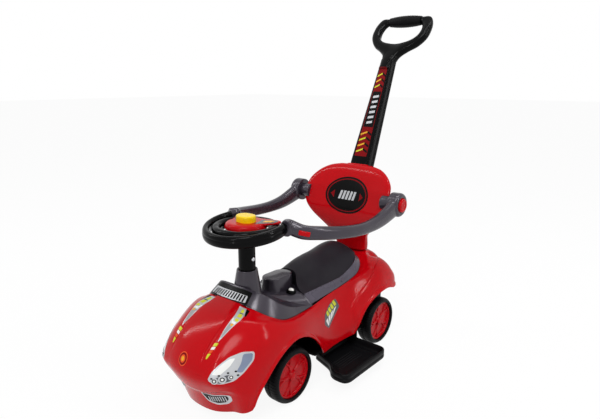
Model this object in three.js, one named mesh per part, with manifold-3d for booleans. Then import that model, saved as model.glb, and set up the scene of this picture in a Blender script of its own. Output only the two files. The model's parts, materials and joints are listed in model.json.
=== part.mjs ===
// Toddler's ride-on push car, in millimetres, +Z up.
// The nose points along -Y, the child's left is +X, and the wheels stand on z = 0.
import * as THREE from "three";
import { mergeVertices } from "three/addons/utils/BufferGeometryUtils.js";
import Module from "manifold-3d";

const wasm = await Module();
wasm.setup();

// Driving dimensions

// Fits
const gap = 0.3; // between pieces that touch
const easyGap = 0.5; // round a piece that slides
const overrun = 2; // a cutter past the face that it cuts
const weld = 1; // how far a boss reaches into the wall that it grows from
const mergeTolerance = 0.0005;

// Wheels and axles
const wheelRadius = 65;
const wheelWidth = 44;
const treadHalfWidth = 14;
const wheelCentreX = 107;
const wheelbase = 370;
const overhangScale = 370; // what shares of the length mean ahead of the front axle and behind the rear one
const shoulderRadius = 59.5; // where the tread rolls into the sidewall
const rimRadius = 47; // inside of the rim
const discRadius = 53;
const discSeatDepth = 14; // from the outer face to the ledge that carries the disc
const discThickness = 7;
const discBossRadius = 15;
const discBossRise = 4;
const pocketInnerRadius = 20; // pockets between its spokes
const pocketOuterRadius = 43;
const pocketCount = 5;
const pocketArc = 0.84; // radians
const pocketDepth = 4;
const hubRadius = 12;
const webThickness = 4;
const axleRadius = 5;
const axlePastWeb = 5;
const nutRadius = 9;
const nutThickness = 3;
const roundSides = 20;
const smallSides = 10;
const rimSides = 25;

// Body shell
const bodyHalfWidth = 132;
const deckHeight = 245;
const wall = 3;
const frontWellHalfLength = 126;
const frontWellTop = 158;
const frontWellFoot = 33;
const rearWellHalfLength = 124;
const rearWellTop = 163;
const rearWellFoot = 65;
const tailLipHeight = 148;
const wellPower = 1.75;
const flareWidth = 13;
const flareRise = 3;
const bossRadius = 8;
const frontBossX = 40;
const frontBossY = -110;
const rearBossX = 62;
const rearBossBehindAxle = 35;
const rearBossY = wheelbase + rearBossBehindAxle;
const screwHeadRadius = 5;
const screwHeadThickness = 3;
const screwRadius = 2;
const screwLength = 24;

// Chassis
const floorBottom = 74;
const floorThickness = 4;
const floorClearance = 2; // to the shell's inner face
const innerWellX = 58; // inner wheel wells, outer faces
const rearInnerWellX = 78;
const wellWall = 3;
const frontWellReach = 90; // from the front axle
const rearWellReach = 75; // from the rear axle
const wellWallTop = 150;
const hangerFoot = 50;
const bushRadius = 9;
const bushLength = 8;

// Steering
const columnY = -18;
const kingpinX = 72;
const kingpinRadius = 4;
const kingpinHeadRadius = 7;
const kingpinHeadThickness = 3;
const knuckleRadius = 11;
const knuckleHalfHeight = 20;
const axleBossRadius = 9;
const axleBossEndX = 85;
const stubStartX = 78;
const earThickness = 6;
const earHalfWidth = 12;
const earEndX = 84;
const steeringArmLength = 34;
const steeringArmThickness = 8;
const steeringArmHalfWidth = 6;
const armPinRadius = 3.5;
const armPinDrop = 12;
const crankLength = 22;
const tieRodThickness = 6;
const tieRodHalfWidth = 13;
const tieRodOverhang = 7;
const slotEase = 4; // what the pins move along y as the linkage swings
const steeringRodRadius = 5;
const neckRadius = 19.5;
const neckFoot = 272;
const neckScrewShare = 0.31; // of the way from the cone's top to the wheel's hub
const neckScrewRadius = 3;
const neckScrewHeadRadius = 5;
const neckScrewHeadThickness = 1.5;

// Steering wheel, horn pod and horn button
const wheelRimRadius = 68;
const wheelRimTube = 8;
const wheelRimHeight = 397;
const hubBelowRim = 14;
const hubFloor = wheelRimHeight - hubBelowRim;
const wheelHubRadius = 46;
const wheelHubThickness = 8;
const spokeWidth = 24;
const spokeThickness = 7;
const podRadius = 48;
const podHeight = 20;
const podShoulder = 7;
const wingTipX = 53;
const wingTipY = 45; // from the column, towards the child
const wingTipRadius = 8;
const wingRootRadius = 24;
const wingThickness = 5.5;
const buttonHalfLength = 23;
const buttonHalfWidth = 17;
const buttonRise = 14;
const buttonTravel = 4;
const buttonDepth = 3; // how far it sits in the pod at rest
const buttonCrown = 4;

// Guard
const hoopRadius = 90;
const hoopCentreY = columnY;
const hoopCentreZ = wheelRimHeight;
const hoopTilt = 0.12; // radians, the front edge is the lower one
const hoopSpan = 1.95; // radians each way from straight ahead
const hoopHalfWidth = 8;
const hoopHalfHeight = 13.5;
const stubLength = 13;
const stubHalfWidth = 5;
const stubHalfHeight = 8;
const pivotBeforeAxle = 5;
const pivotY = wheelbase - pivotBeforeAxle;
const pivotZ = 404;
const armBossRadius = 28;
const armBossInnerX = 148;
const armBossOuterX = 178;
const capRadius = 18;
const capRise = 6;
const capSeat = 3;
const pivotBoltRadius = 6;
const pivotBoltHeadRadius = 11;
const pivotBoltHeadThickness = 4;
const pivotBoltInnerX = 122;
const latchHalfLength = 13;
const latchHalfHeight = 5.5;
const latchDepth = 8;
const latchRise = 2;
const latchTravel = 2;
const latchDistanceShare = 0.22; // along the arm
const armPathPoints = 13;
const ovalSides = 10;

// Dashboard
const coneFootRadius = 33;
const coneTopRadius = 24;
const coneTop = 299;
const neckClearance = 0.8;
const dashWall = 3;
const deckDrop = 6; // from the windscreen's top edge down to the deck
const deckEdge = 3; // thickness of that edge
const coneFoot = 244;
const deckSlope = 0.236; // the cone's foot leans back with the deck
const seamDepth = 12; // how far the rear edge goes down
const seamY = 100;
const seamBulge = 26;
const seamBulgeHalfWidth = 38;
const seamHeight = 222;
const pommelFootRadius = 28;
const pommelTopRadius = 24;
const pommelFrontY = 66; // centres of its round front and rear
const pommelRearY = 99;
const pommelTop = 246;
const pommelFoot = 205;
const knobX = 42;
const knobY = 86;
const knobRadius = 7;
const knobRise = 5;
const bezelRadius = 12;
const bezelRise = 3;
const knobStem = 4;

// Seat
const lidHalfWidth = 71;
const lidRearBeforeAxle = 85;
const lidRearStart = wheelbase - lidRearBeforeAxle;
const lidRearDepth = 77;
const lidThickness = 4;
const seatPower = 2.2;
const lidEdgeFront = 216;
const lidEdgeRise = 30;
const lidRiseBeforeAxle = 140;
const lidEdgeRiseStart = wheelbase - lidRiseBeforeAxle;
const lidEdgeRiseLength = 130;
const lidCrown = 58;
const trimHalfWidth = 86;
const trimRearDepth = 91;
const trimDrop = 4;
const trimLip = 2.2;
const trimSeat = 0.8;
const hingeY = 138;
const hingeZ = 236;
const hingePinRadius = 1.5;
const hingePinHalfLength = 18;
const hingeBarrelRadius = 3;
const hingeLugX = 3;
const hingeHookX = 10;
const hingeLugWidth = 6;
const hingeHookFoot = 214;
const hingeHookTop = 221;
const tubHalfWidth = 70;
const tubFront = 128;
const tubRearBeforeAxle = 24;
const tubRear = wheelbase - tubRearBeforeAxle;
const tubTop = 180;
const tubWall = 3;
const tubTaper = 6;

// Backrest
const backrestHalfWidth = 139;
const backrestTop = 486;
const backrestPower = 0.7; // under 1 makes its sections squarer
const plugFoot = 205;
const plugHalfWidth = 38;
const plugHalfDepth = 14;
const plugBehindAxle = 34;
const plugY = wheelbase + plugBehindAxle;
const socketWall = 4;
const socketDepth = 95;
const backBossRadius = 17;
const backBossInnerX = 96;
const backScrewHeight = 222;
const backScrewX = 20;

// Push handle
const poleFootBehindAxle = 39;
const poleFootY = wheelbase + poleFootBehindAxle;
const poleFootZ = 392;
const poleLean = 0.412; // radians from upright
const poleLength = 412;
const poleFootHalfWidth = 27.5;
const poleFootHalfDepth = 20;
const poleTopHalfWidth = 16.5;
const poleTopHalfDepth = 15;
const poleChamfer = 5;
const polePrism = 110; // length at the foot that keeps one section
const gripLean = 0.66; // radians from upright
const gripHalfDepth = 10;
const gripLength = 158;
const gripHalfWidth = 91;
const gripBarLift = 147; // from the pole's top to the bar
const gripBarRadius = 9;
const gripBarHalfLength = 52;
const gripSleeveRadius = 13;
const gripSleeveSwell = 4;

// Footrests
const footrestOuterX = 206;
const footrestInnerX = 77;
const footrestFront = 92;
const footrestBeforeAxle = 98;
const footrestLength = wheelbase - footrestBeforeAxle - footrestFront;
const footrestBottom = 29;
const footrestHeight = 22;
const footrestFloor = 4;
const footrestRim = 6;
const footrestCorner = 24;
const railWeb = 4;
const railLip = 4;
const railLipReach = 14;
const railInnerX = 3;
const railOuterX = 110;

// Materials

function material(color, roughness, metalness = 0) {
  return new THREE.MeshStandardMaterial({ color, roughness, metalness });
}
const redPlastic = material(0xc4101c, 0.22);
const blackGloss = material(0x0b0b0d, 0.18);
const blackPlastic = material(0x141416, 0.5);
const gunmetalPlastic = material(0x57555f, 0.32, 0.25);
const silverPlastic = material(0x6f6c78, 0.3, 0.35);
const charcoalPlastic = material(0x2b2a30, 0.45);
const yellowPlastic = material(0xf2c400, 0.3);
const paleDome = material(0xe8e6e2, 0.25);
const steel = material(0xb9bcc2, 0.3, 0.9);

// Geometry helpers

const at = (x, y, z) => new THREE.Vector3(x, y, z);
const lerp = THREE.MathUtils.lerp;
const clamp = THREE.MathUtils.clamp;
const smooth = (value, from, to) => THREE.MathUtils.smoothstep(value, from, to);

// A closed body from points and triangles, turned to face outwards.
function closedBody(points, faces) {
  let volume = 0;
  const cross = at(0, 0, 0);
  for (let i = 0; i < faces.length; i += 3) {
    const [a, b, c] = [points[faces[i]], points[faces[i + 1]], points[faces[i + 2]]];
    volume += a.dot(cross.crossVectors(b, c));
  }
  if (volume < 0) faces.reverse();
  const geometry = new THREE.BufferGeometry().setFromPoints(points);
  return geometry.setIndex(faces);
}

// A body through rings of equal counts: joined end to end when looped, and otherwise capped by fans.
function loft(rings, looped = false) {
  const count = rings[0].length;
  const points = rings.flat();
  const faces = [];
  const spans = looped ? rings.length : rings.length - 1;
  for (let i = 0; i < spans; i++) {
    const a = i * count;
    const b = ((i + 1) % rings.length) * count;
    for (let j = 0; j < count; j++) {
      const k = (j + 1) % count;
      faces.push(a + j, a + k, b + k, a + j, b + k, b + j);
    }
  }
  if (looped) return closedBody(points, faces);
  for (const end of [0, rings.length - 1]) {
    const middle = rings[end].reduce((sum, p) => sum.add(p), at(0, 0, 0)).divideScalar(count);
    const hub = points.push(middle) - 1;
    for (let j = 0; j < count; j++) {
      const a = end * count + j;
      const b = end * count + ((j + 1) % count);
      if (end === 0) faces.push(b, a, hub);
      else faces.push(a, b, hub);
    }
  }
  return closedBody(points, faces);
}

// A sheet with thickness: two grids of points, upper[i][j] above lower[i][j].
function slab(upper, lower) {
  const rows = upper.length;
  const columns = upper[0].length;
  const rings = [];
  for (let i = 0; i < rows; i++) rings.push([...upper[i], ...[...lower[i]].reverse()]);
  const points = rings.flat();
  const count = 2 * columns;
  const faces = [];
  for (let i = 0; i + 1 < rows; i++) {
    for (let j = 0; j < count; j++) {
      const k = (j + 1) % count;
      const [a, b] = [i * count, (i + 1) * count];
      faces.push(a + j, a + k, b + k, a + j, b + k, b + j);
    }
  }
  for (const end of [0, rows - 1]) {
    for (let j = 0; j + 1 < columns; j++) {
      const base = end * count;
      const quad = [base + j, base + j + 1, base + count - 2 - j, base + count - 1 - j];
      const order = end === 0 ? [0, 2, 1, 0, 3, 2] : [0, 1, 2, 0, 2, 3];
      faces.push(...order.map((corner) => quad[corner]));
    }
  }
  return closedBody(points, faces);
}

// An outline of [u, v] pairs drawn out along one axis: "x" takes them as y, z, "y" as x, z and "z" as x, y.
function prism(outline, axis, from, to, holes = []) {
  const shape = new THREE.Shape(outline.map(([u, v]) => new THREE.Vector2(u, v)));
  for (const hole of holes) {
    shape.holes.push(new THREE.Path(hole.map(([u, v]) => new THREE.Vector2(u, v))));
  }
  const depth = to - from;
  const flat = new THREE.ExtrudeGeometry(shape, { depth, bevelEnabled: false, steps: 1 });
  const bare = mergedGeometry(flat);
  const position = bare.attributes.position;
  const points = [];
  for (let i = 0; i < position.count; i++) {
    const [u, v, w] = [position.getX(i), position.getY(i), position.getZ(i) + from];
    if (axis === "x") points.push(at(w, u, v));
    else if (axis === "y") points.push(at(u, w, v));
    else points.push(at(u, v, w));
  }
  return closedBody(points, Array.from(bare.index.array));
}

function block(x0, x1, y0, y1, z0, z1) {
  const box = new THREE.BoxGeometry(x1 - x0, y1 - y0, z1 - z0);
  return box.translate((x0 + x1) / 2, (y0 + y1) / 2, (z0 + z1) / 2);
}

function rod(radius, from, to, sides = smallSides, endRadius = radius) {
  const along = to.clone().sub(from);
  const cylinder = new THREE.CylinderGeometry(endRadius, radius, along.length(), sides);
  const turn = new THREE.Quaternion().setFromUnitVectors(at(0, 1, 0), along.clone().normalize());
  const middle = from.clone().add(to).divideScalar(2);
  return cylinder.applyQuaternion(turn).translate(middle.x, middle.y, middle.z);
}

// A bore's radius whose flats clear a rod that turns in it.
const turningBore = (radius) => (radius + gap) / Math.cos(Math.PI / smallSides);

// A profile of [radius, distance] pairs turned about the X or the Z axis.
function turned(profile, axis, sides = roundSides) {
  const lathe = new THREE.LatheGeometry(profile.map(([r, d]) => new THREE.Vector2(r, d)), sides);
  return axis === "x" ? lathe.rotateZ(-Math.PI / 2) : lathe.rotateX(Math.PI / 2);
}

// An oval tube along a path: half sizes by share of the path, the width level and the height upwards.
function ovalTube(path, halfWidth, halfHeight, sides = ovalSides) {
  return loft(path.map((point, i) => {
    const share = i / (path.length - 1);
    const before = path[Math.max(i - 1, 0)];
    const after = path[Math.min(i + 1, path.length - 1)];
    const along = after.clone().sub(before).normalize();
    const side = at(0, 0, 1).cross(along).normalize();
    const up = along.clone().cross(side);
    return Array.from({ length: sides }, (_, k) => {
      const angle = (2 * Math.PI * k) / sides;
      const ring = point.clone().addScaledVector(side, halfWidth(share) * Math.cos(angle));
      return ring.addScaledVector(up, halfHeight(share) * Math.sin(angle));
    });
  }));
}

function mergedGeometry(geometry) {
  const position = geometry.getAttribute("position").clone();
  const bare = new THREE.BufferGeometry().setAttribute("position", position);
  if (geometry.index) bare.setIndex(geometry.index.clone());
  const merged = mergeVertices(bare, mergeTolerance);
  const kept = [];
  const index = merged.index.array;
  for (let i = 0; i < index.length; i += 3) {
    const [a, b, c] = [index[i], index[i + 1], index[i + 2]];
    if (a !== b && b !== c && c !== a) kept.push(a, b, c);
  }
  return merged.setIndex(kept);
}

function solid(geometry) {
  const merged = mergedGeometry(geometry);
  const vertProperties = merged.attributes.position.array;
  const triVerts = new Uint32Array(merged.index.array);
  return new wasm.Manifold(new wasm.Mesh({ numProp: 3, vertProperties, triVerts }));
}

function geometryOf(manifold) {
  const mesh = manifold.getMesh();
  const geometry = new THREE.BufferGeometry();
  geometry.setAttribute("position", new THREE.BufferAttribute(Float32Array.from(mesh.vertProperties), 3));
  return geometry.setIndex(new THREE.BufferAttribute(Uint32Array.from(mesh.triVerts), 1));
}

const joined = (...bodies) => bodies.map(solid).reduce((sum, body) => sum.add(body));
const cut = (body, ...cutters) => cutters.map(solid).reduce((rest, cutter) => rest.subtract(cutter), body);

// Places of a smooth curve through a table of values, by share from 0 to 1.
function curveValue(values, share) {
  const f = clamp(share, 0, 1) * (values.length - 1);
  const i = Math.min(Math.floor(f), values.length - 2);
  const t = f - i;
  const value = (k) => values[clamp(k, 0, values.length - 1)];
  return catmullRom(value(i - 1), value(i), value(i + 1), value(i + 2), t);
}

function catmullRom(a, b, c, d, t) {
  const bend = 2 * a - 5 * b + 4 * c - d;
  return b + (t / 2) * (c - a + t * (bend + t * (3 * (b - c) + d - a)));
}

// Body shell

// The shell is a sheet round the car. Each row of the net runs down one rib, from the edge that the
// dashboard, seat or deck meets to the lower edge: shares of the half width, length and deck height.
const ribShares = [
  [[0, -0.211, 0.992], [0, -0.338, 0.922], [0, -0.465, 0.8], [0, -0.551, 0.665],
    [0, -0.584, 0.522], [0, -0.546, 0.367], [0, -0.514, 0.302], [0, -0.465, 0.11]],
  [[0.341, -0.205, 0.984], [0.348, -0.33, 0.918], [0.356, -0.451, 0.796], [0.364, -0.535, 0.657],
    [0.371, -0.568, 0.518], [0.356, -0.53, 0.376], [0.341, -0.497, 0.31], [0.318, -0.449, 0.11]],
  [[0.576, -0.181, 0.951], [0.614, -0.292, 0.902], [0.659, -0.4, 0.784], [0.697, -0.481, 0.645],
    [0.712, -0.519, 0.518], [0.682, -0.492, 0.42], [0.652, -0.457, 0.343], [0.583, -0.397, 0.114]],
  [[0.735, -0.122, 0.89], [0.818, -0.184, 0.882], [0.894, -0.243, 0.804], [0.947, -0.297, 0.686],
    [0.977, -0.33, 0.551], [0.97, -0.346, 0.424], [0.955, -0.349, 0.294], [0.909, -0.343, 0.135]],
  [[0.795, 0, 0.812], [0.856, 0, 0.816], [0.917, 0, 0.792], [0.962, 0, 0.743],
    [0.992, 0, 0.661], [1, 0, 0.531], [0.992, 0, 0.388], [0.97, 0, 0.245]],
  [[0.712, 0.257, 0.78], [0.75, 0.276, 0.763], [0.788, 0.295, 0.722], [0.818, 0.311, 0.657],
    [0.841, 0.322, 0.571], [0.864, 0.327, 0.465], [0.886, 0.33, 0.367], [0.894, 0.332, 0.282]],
  [[0.659, 0.486, 0.804], [0.689, 0.489, 0.771], [0.72, 0.492, 0.714], [0.75, 0.495, 0.645],
    [0.78, 0.497, 0.567], [0.818, 0.5, 0.469], [0.856, 0.503, 0.376], [0.879, 0.503, 0.294]],
  [[0.659, 0.662, 0.829], [0.697, 0.668, 0.8], [0.742, 0.676, 0.751], [0.803, 0.684, 0.686],
    [0.864, 0.689, 0.6], [0.917, 0.692, 0.498], [0.947, 0.692, 0.4], [0.939, 0.692, 0.302]],
  [[0.636, 0.811, 0.865], [0.705, 0.832, 0.873], [0.788, 0.851, 0.853], [0.871, 0.865, 0.804],
    [0.939, 0.876, 0.722], [0.977, 0.881, 0.604], [0.985, 0.886, 0.449], [0.97, 0.886, 0.294]],
  [[0.53, 0.914, 0.918], [0.621, 0.946, 0.947], [0.742, 0.973, 0.943], [0.848, 0.995, 0.902],
    [0.932, 1.008, 0.829], [0.985, 1.019, 0.702], [0.992, 1.022, 0.49], [0.977, 1.022, 0.294]],
  [[0.379, 0.978, 0.955], [0.485, 1.049, 0.992], [0.621, 1.114, 0.963], [0.758, 1.162, 0.886],
    [0.856, 1.192, 0.776], [0.886, 1.205, 0.645], [0.848, 1.195, 0.482], [0.788, 1.178, 0.31]],
  [[0.189, 1.011, 0.971], [0.242, 1.108, 1.008], [0.288, 1.184, 0.971], [0.318, 1.224, 0.878],
    [0.341, 1.246, 0.767], [0.348, 1.251, 0.645], [0.333, 1.232, 0.482], [0.318, 1.216, 0.31]],
  [[0, 1.019, 0.971], [0, 1.119, 1.012], [0, 1.195, 0.976], [0, 1.235, 0.878],
    [0, 1.257, 0.767], [0, 1.262, 0.645], [0, 1.243, 0.482], [0, 1.227, 0.31]],
];
// The ledge inside the top edge, which the dashboard and the seat sit on, one place a rib.
const ledgeShares = [
  [0, -0.178, 0.955], [0.333, -0.173, 0.947], [0.53, -0.151, 0.914], [0.667, -0.103, 0.845],
  [0.705, 0, 0.767], [0.629, 0.257, 0.735], [0.576, 0.486, 0.759], [0.576, 0.662, 0.784],
  [0.553, 0.8, 0.82], [0.455, 0.886, 0.873], [0.326, 0.946, 0.91], [0.159, 0.976, 0.927],
  [0, 0.984, 0.927],
];
const lastRib = ribShares.length - 1;
const lastRow = ribShares[0].length - 1;

// A share of the wheelbase between the axles; the nose and the tail keep their own lengths.
function alongCar(share) {
  const between = clamp(share, 0, 1);
  return between * wheelbase + (share - between) * overhangScale;
}

const bodyPlace = ([x, y, z]) => at(x * bodyHalfWidth, alongCar(y), z * deckHeight);

// The place on rib `rib`, which may be a fraction, of a table with one place a rib; mirrored past the ends.
function alongRibs(places, rib) {
  const i = clamp(Math.floor(rib), 0, lastRib - 1);
  const place = (k) => {
    const mirrored = k < 0 ? -k : k > lastRib ? 2 * lastRib - k : k;
    const point = places(mirrored);
    return mirrored === k ? point : point.setX(-point.x);
  };
  const [a, b, c, d] = [place(i - 1), place(i), place(i + 1), place(i + 2)];
  const t = rib - i;
  return at(
    catmullRom(a.x, b.x, c.x, d.x, t),
    catmullRom(a.y, b.y, c.y, d.y, t),
    catmullRom(a.z, b.z, c.z, d.z, t),
  );
}

function netPlace(rib, row) {
  const j = clamp(Math.floor(row), 0, lastRow - 1);
  const t = row - j;
  const place = (k) => alongRibs((i) => {
    if (k < 0) return bodyPlace(ribShares[i][0]).multiplyScalar(2).sub(bodyPlace(ribShares[i][1]));
    if (k <= lastRow) return bodyPlace(ribShares[i][k]);
    return bodyPlace(ribShares[i][lastRow]).multiplyScalar(2).sub(bodyPlace(ribShares[i][lastRow - 1]));
  }, rib);
  const [a, b, c, d] = [place(j - 1), place(j), place(j + 1), place(j + 2)];
  return at(
    catmullRom(a.x, b.x, c.x, d.x, t),
    catmullRom(a.y, b.y, c.y, d.y, t),
    catmullRom(a.z, b.z, c.z, d.z, t),
  );
}

const ledgePlace = (rib) => alongRibs((i) => bodyPlace(ledgeShares[i]), rib);

const nudgeShare = 0.02;
function netNormal(rib, row) {
  const [low, high] = [Math.max(rib - nudgeShare, 0), Math.min(rib + nudgeShare, lastRib)];
  const alongBody = netPlace(high, row).sub(netPlace(low, row));
  const [upper, lower] = [Math.max(row - nudgeShare, 0), Math.min(row + nudgeShare, lastRow)];
  const downRib = netPlace(rib, lower).sub(netPlace(rib, upper));
  return downRib.cross(alongBody).normalize();
}

// Height of a wheel well's edge over the place x, y, or 0 where no well is.
function superOval(distance, halfLength, height, power) {
  const share = Math.abs(distance) / halfLength;
  return share >= 1 ? 0 : height * (1 - share ** power) ** (1 / power);
}
const tailCutInnerShare = 0.52;
const tailCutOuterShare = 0.82;
function wellEdge(x, y) {
  if (y < wheelbase / 2) {
    if (Math.abs(y) >= frontWellHalfLength) return 0;
    return frontWellFoot + superOval(y, frontWellHalfLength, frontWellTop - frontWellFoot, wellPower);
  }
  const behind = y - wheelbase;
  const rise = superOval(behind, rearWellHalfLength, rearWellTop - rearWellFoot, wellPower);
  if (behind < 0) return behind <= -rearWellHalfLength ? 0 : rearWellFoot + rise;
  const edge = Math.max(rearWellFoot + rise, tailLipHeight);
  const inner = tailCutInnerShare * bodyHalfWidth;
  const outer = tailCutOuterShare * bodyHalfWidth;
  return edge * smooth(Math.abs(x), inner, outer);
}

// The last row of a rib that is left above the wheel well.
const trimSteps = 70;
function trimmedRow(rib) {
  for (let i = 1; i <= trimSteps; i++) {
    const row = (lastRow * i) / trimSteps;
    const place = netPlace(rib, row);
    if (place.z < wellEdge(place.x, place.y)) {
      let [above, below] = [row - lastRow / trimSteps, row];
      for (let k = 0; k < smallSides; k++) {
        const middle = (above + below) / 2;
        const tried = netPlace(rib, middle);
        if (tried.z < wellEdge(tried.x, tried.y)) below = middle;
        else above = middle;
      }
      return above;
    }
  }
  return lastRow;
}

// How far the arch lips stand out beside the wells.
function flare(place, foot) {
  const away = Math.max(place.z - wellEdge(place.x, place.y), 0);
  const reach = foot ? 0 : away;
  return flareRise * (1 - smooth(reach, flareWidth / 2, flareWidth));
}

const ribSteps = 32;
const rowSteps = 6;
function shellRib(rib, offset) {
  const last = trimmedRow(rib);
  const trimmed = last < lastRow;
  return Array.from({ length: rowSteps + 1 }, (_, k) => {
    const row = (last * k) / rowSteps;
    const place = netPlace(rib, row);
    const out = netNormal(rib, row);
    const lip = trimmed && Math.abs(place.x) > bodyHalfWidth / 2 ? flare(place, k === rowSteps) : 0;
    return place.addScaledVector(out, lip - offset);
  });
}

const mirroredPoint = (p) => at(-p.x, p.y, p.z);

function aroundBody(ribRing) {
  const half = Array.from({ length: ribSteps + 1 }, (_, i) => ribRing((lastRib * i) / ribSteps));
  const other = half.slice(1, -1).reverse().map((ring) => ring.map(mirroredPoint));
  return [...half, ...other];
}

// The room inside the shell, for pieces that are cut to fit against it.
function bodyRoom(offset) {
  const rings = aroundBody((rib) => Array.from({ length: rowSteps + 1 }, (_, k) => {
    const row = (lastRow * k) / rowSteps;
    return netPlace(rib, row).addScaledVector(netNormal(rib, row), -offset);
  }));
  const levels = rings[0].map((_, k) => rings.map((ring) => ring[k]));
  return loft(levels);
}

function bodyBosses() {
  const spots = [];
  for (const side of [-1, 1]) {
    spots.push([side * frontBossX, frontBossY], [side * rearBossX, rearBossY]);
  }
  return spots;
}

function bodyShell() {
  const rings = aroundBody((rib) => {
    const outer = shellRib(rib, 0);
    const inner = shellRib(rib, wall);
    const ledge = ledgePlace(rib);
    const under = ledge.clone().setZ(ledge.z - wall);
    return [ledge, ...outer, ...inner.reverse(), under];
  });
  let shell = solid(loft(rings, true));
  const room = solid(bodyRoom(wall - weld));
  for (const [x, y] of bodyBosses()) {
    const foot = floorBottom + floorThickness + gap;
    const post = solid(rod(bossRadius, at(x, y, foot), at(x, y, deckHeight + overrun)));
    const bore = rod(screwRadius + gap, at(x, y, foot - overrun), at(x, y, foot + screwLength));
    shell = cut(shell.add(post.intersect(room)), bore);
  }
  const plugRoomX = plugHalfWidth + easyGap;
  const plugRoomY = plugHalfDepth + easyGap;
  const [front, rear] = [plugY - plugRoomY, plugY + plugRoomY];
  const slot = block(-plugRoomX, plugRoomX, front, rear, plugFoot, deckHeight + bossRadius);
  return geometryOf(cut(shell, slot));
}

// Chassis

function chassis() {
  const floorTop = floorBottom + floorThickness;
  const middleFront = footrestFront - railWeb - easyGap;
  const middleRear = footrestFront + footrestLength + railWeb + easyGap;
  const bay = bodyHalfWidth;
  const outline = [
    [-bay, -wheelbase], [bay, -wheelbase], [bay, -frontWellReach - frontWellHalfLength / 4],
    [innerWellX, -frontWellReach], [innerWellX, middleFront], [bay, middleFront], [bay, middleRear],
    [rearInnerWellX, middleRear], [rearInnerWellX, 2 * wheelbase], [-rearInnerWellX, 2 * wheelbase],
    [-rearInnerWellX, middleRear], [-bay, middleRear], [-bay, middleFront], [-innerWellX, middleFront],
    [-innerWellX, -frontWellReach], [-bay, -frontWellReach - frontWellHalfLength / 4],
  ];
  const parts = [solid(prism(outline, "z", floorBottom, floorTop))];
  for (const side of [-1, 1]) {
    const front = [side * innerWellX, side * (innerWellX - wellWall)].sort((a, b) => a - b);
    parts.push(solid(block(...front, -frontWellReach, middleFront, floorBottom, wellWallTop)));
    const rear = [side * rearInnerWellX, side * (rearInnerWellX - wellWall)].sort((a, b) => a - b);
    const rearFrom = wheelbase - rearWellReach;
    parts.push(solid(block(...rear, rearFrom, wheelbase + rearWellReach, floorBottom, wellWallTop)));
  }
  let frame = parts.reduce((sum, part) => sum.add(part)).intersect(solid(bodyRoom(wall + floorClearance)));
  const kingpinLow = wheelRadius - knuckleHalfHeight - gap - earThickness;
  const kingpinHigh = wheelRadius + knuckleHalfHeight + gap + earThickness;
  for (const side of [-1, 1]) {
    const span = (from, to) => [side * from, side * to].sort((a, b) => a - b);
    const ear = (endX, low, high) => {
      return solid(block(...span(innerWellX - wellWall, endX), -earHalfWidth, earHalfWidth, low, high));
    };
    frame = frame.add(ear(earEndX, kingpinLow, kingpinLow + earThickness));
    frame = frame.add(ear(earEndX, kingpinHigh - earThickness, kingpinHigh));
    frame = frame.add(ear(innerWellX, kingpinLow, floorTop));
    const hangerX = span(rearInnerWellX - wellWall, rearInnerWellX);
    const hangerY = [wheelbase - bushRadius - wellWall - weld, wheelbase + bushRadius + wellWall + weld];
    frame = frame.add(solid(block(...hangerX, ...hangerY, hangerFoot, floorTop)));
    const pinPlace = (z) => at(side * kingpinX, 0, z);
    const bushPlace = (x) => at(x, wheelbase, wheelRadius);
    frame = cut(
      frame,
      rod(kingpinRadius + gap, pinPlace(kingpinLow - overrun), pinPlace(kingpinHigh + overrun)),
      rod(bushRadius + gap, bushPlace(hangerX[0] - overrun), bushPlace(hangerX[1] + overrun), roundSides),
    );
    const railX = span(railInnerX, railOuterX);
    const lipBottom = footrestBottom - easyGap - railLip;
    for (const [webY, lipY] of [
      [[middleFront, middleFront + railWeb], [middleFront, middleFront + railLipReach]],
      [[middleRear - railWeb, middleRear], [middleRear - railLipReach, middleRear]],
    ]) {
      frame = frame.add(solid(block(...railX, ...webY, lipBottom, floorTop)));
      frame = frame.add(solid(block(...railX, ...lipY, lipBottom, lipBottom + railLip)));
    }
  }
  const hole = (radius, x, y, sides) => {
    return rod(radius + gap, at(x, y, floorBottom - overrun), at(x, y, floorTop + overrun), sides);
  };
  const screwHoles = bodyBosses().map(([x, y]) => hole(screwRadius, x, y, smallSides));
  return geometryOf(cut(frame, hole(bushRadius, 0, columnY, roundSides), ...screwHoles));
}

function chassisScrew(x, y) {
  const place = (z) => at(x, y, z);
  const top = floorBottom - gap;
  const head = rod(screwHeadRadius, place(top - screwHeadThickness), place(top));
  const shank = rod(screwRadius, place(top - weld), place(floorBottom + screwLength));
  return geometryOf(joined(head, shank));
}

// Wheels

// Distances run from the wheel's middle towards its outer face.
const webOuter = webThickness / 2;
const flatTurn = Math.PI / roundSides; // brings a flat of the rim to the ground
const acrossFlats = 1 / Math.cos(flatTurn);
function tyre() {
  const half = wheelWidth / 2;
  const tread = wheelRadius * acrossFlats;
  const edge = shoulderRadius * acrossFlats;
  const seat = half - discSeatDepth;
  const bore = axleRadius + gap;
  const profile = [
    [bore, -half + weld], [hubRadius, -half + weld], [hubRadius, -webOuter], [rimRadius, -webOuter],
    [rimRadius, -half], [edge, -half], [tread, -treadHalfWidth], [tread, treadHalfWidth], [edge, half],
    [discRadius + gap, half], [discRadius + gap, seat], [rimRadius, seat], [rimRadius, webOuter],
    [bore, webOuter], [bore, -half + weld],
  ];
  return geometryOf(solid(turned(profile, "x").rotateX(flatTurn)));
}

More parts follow.
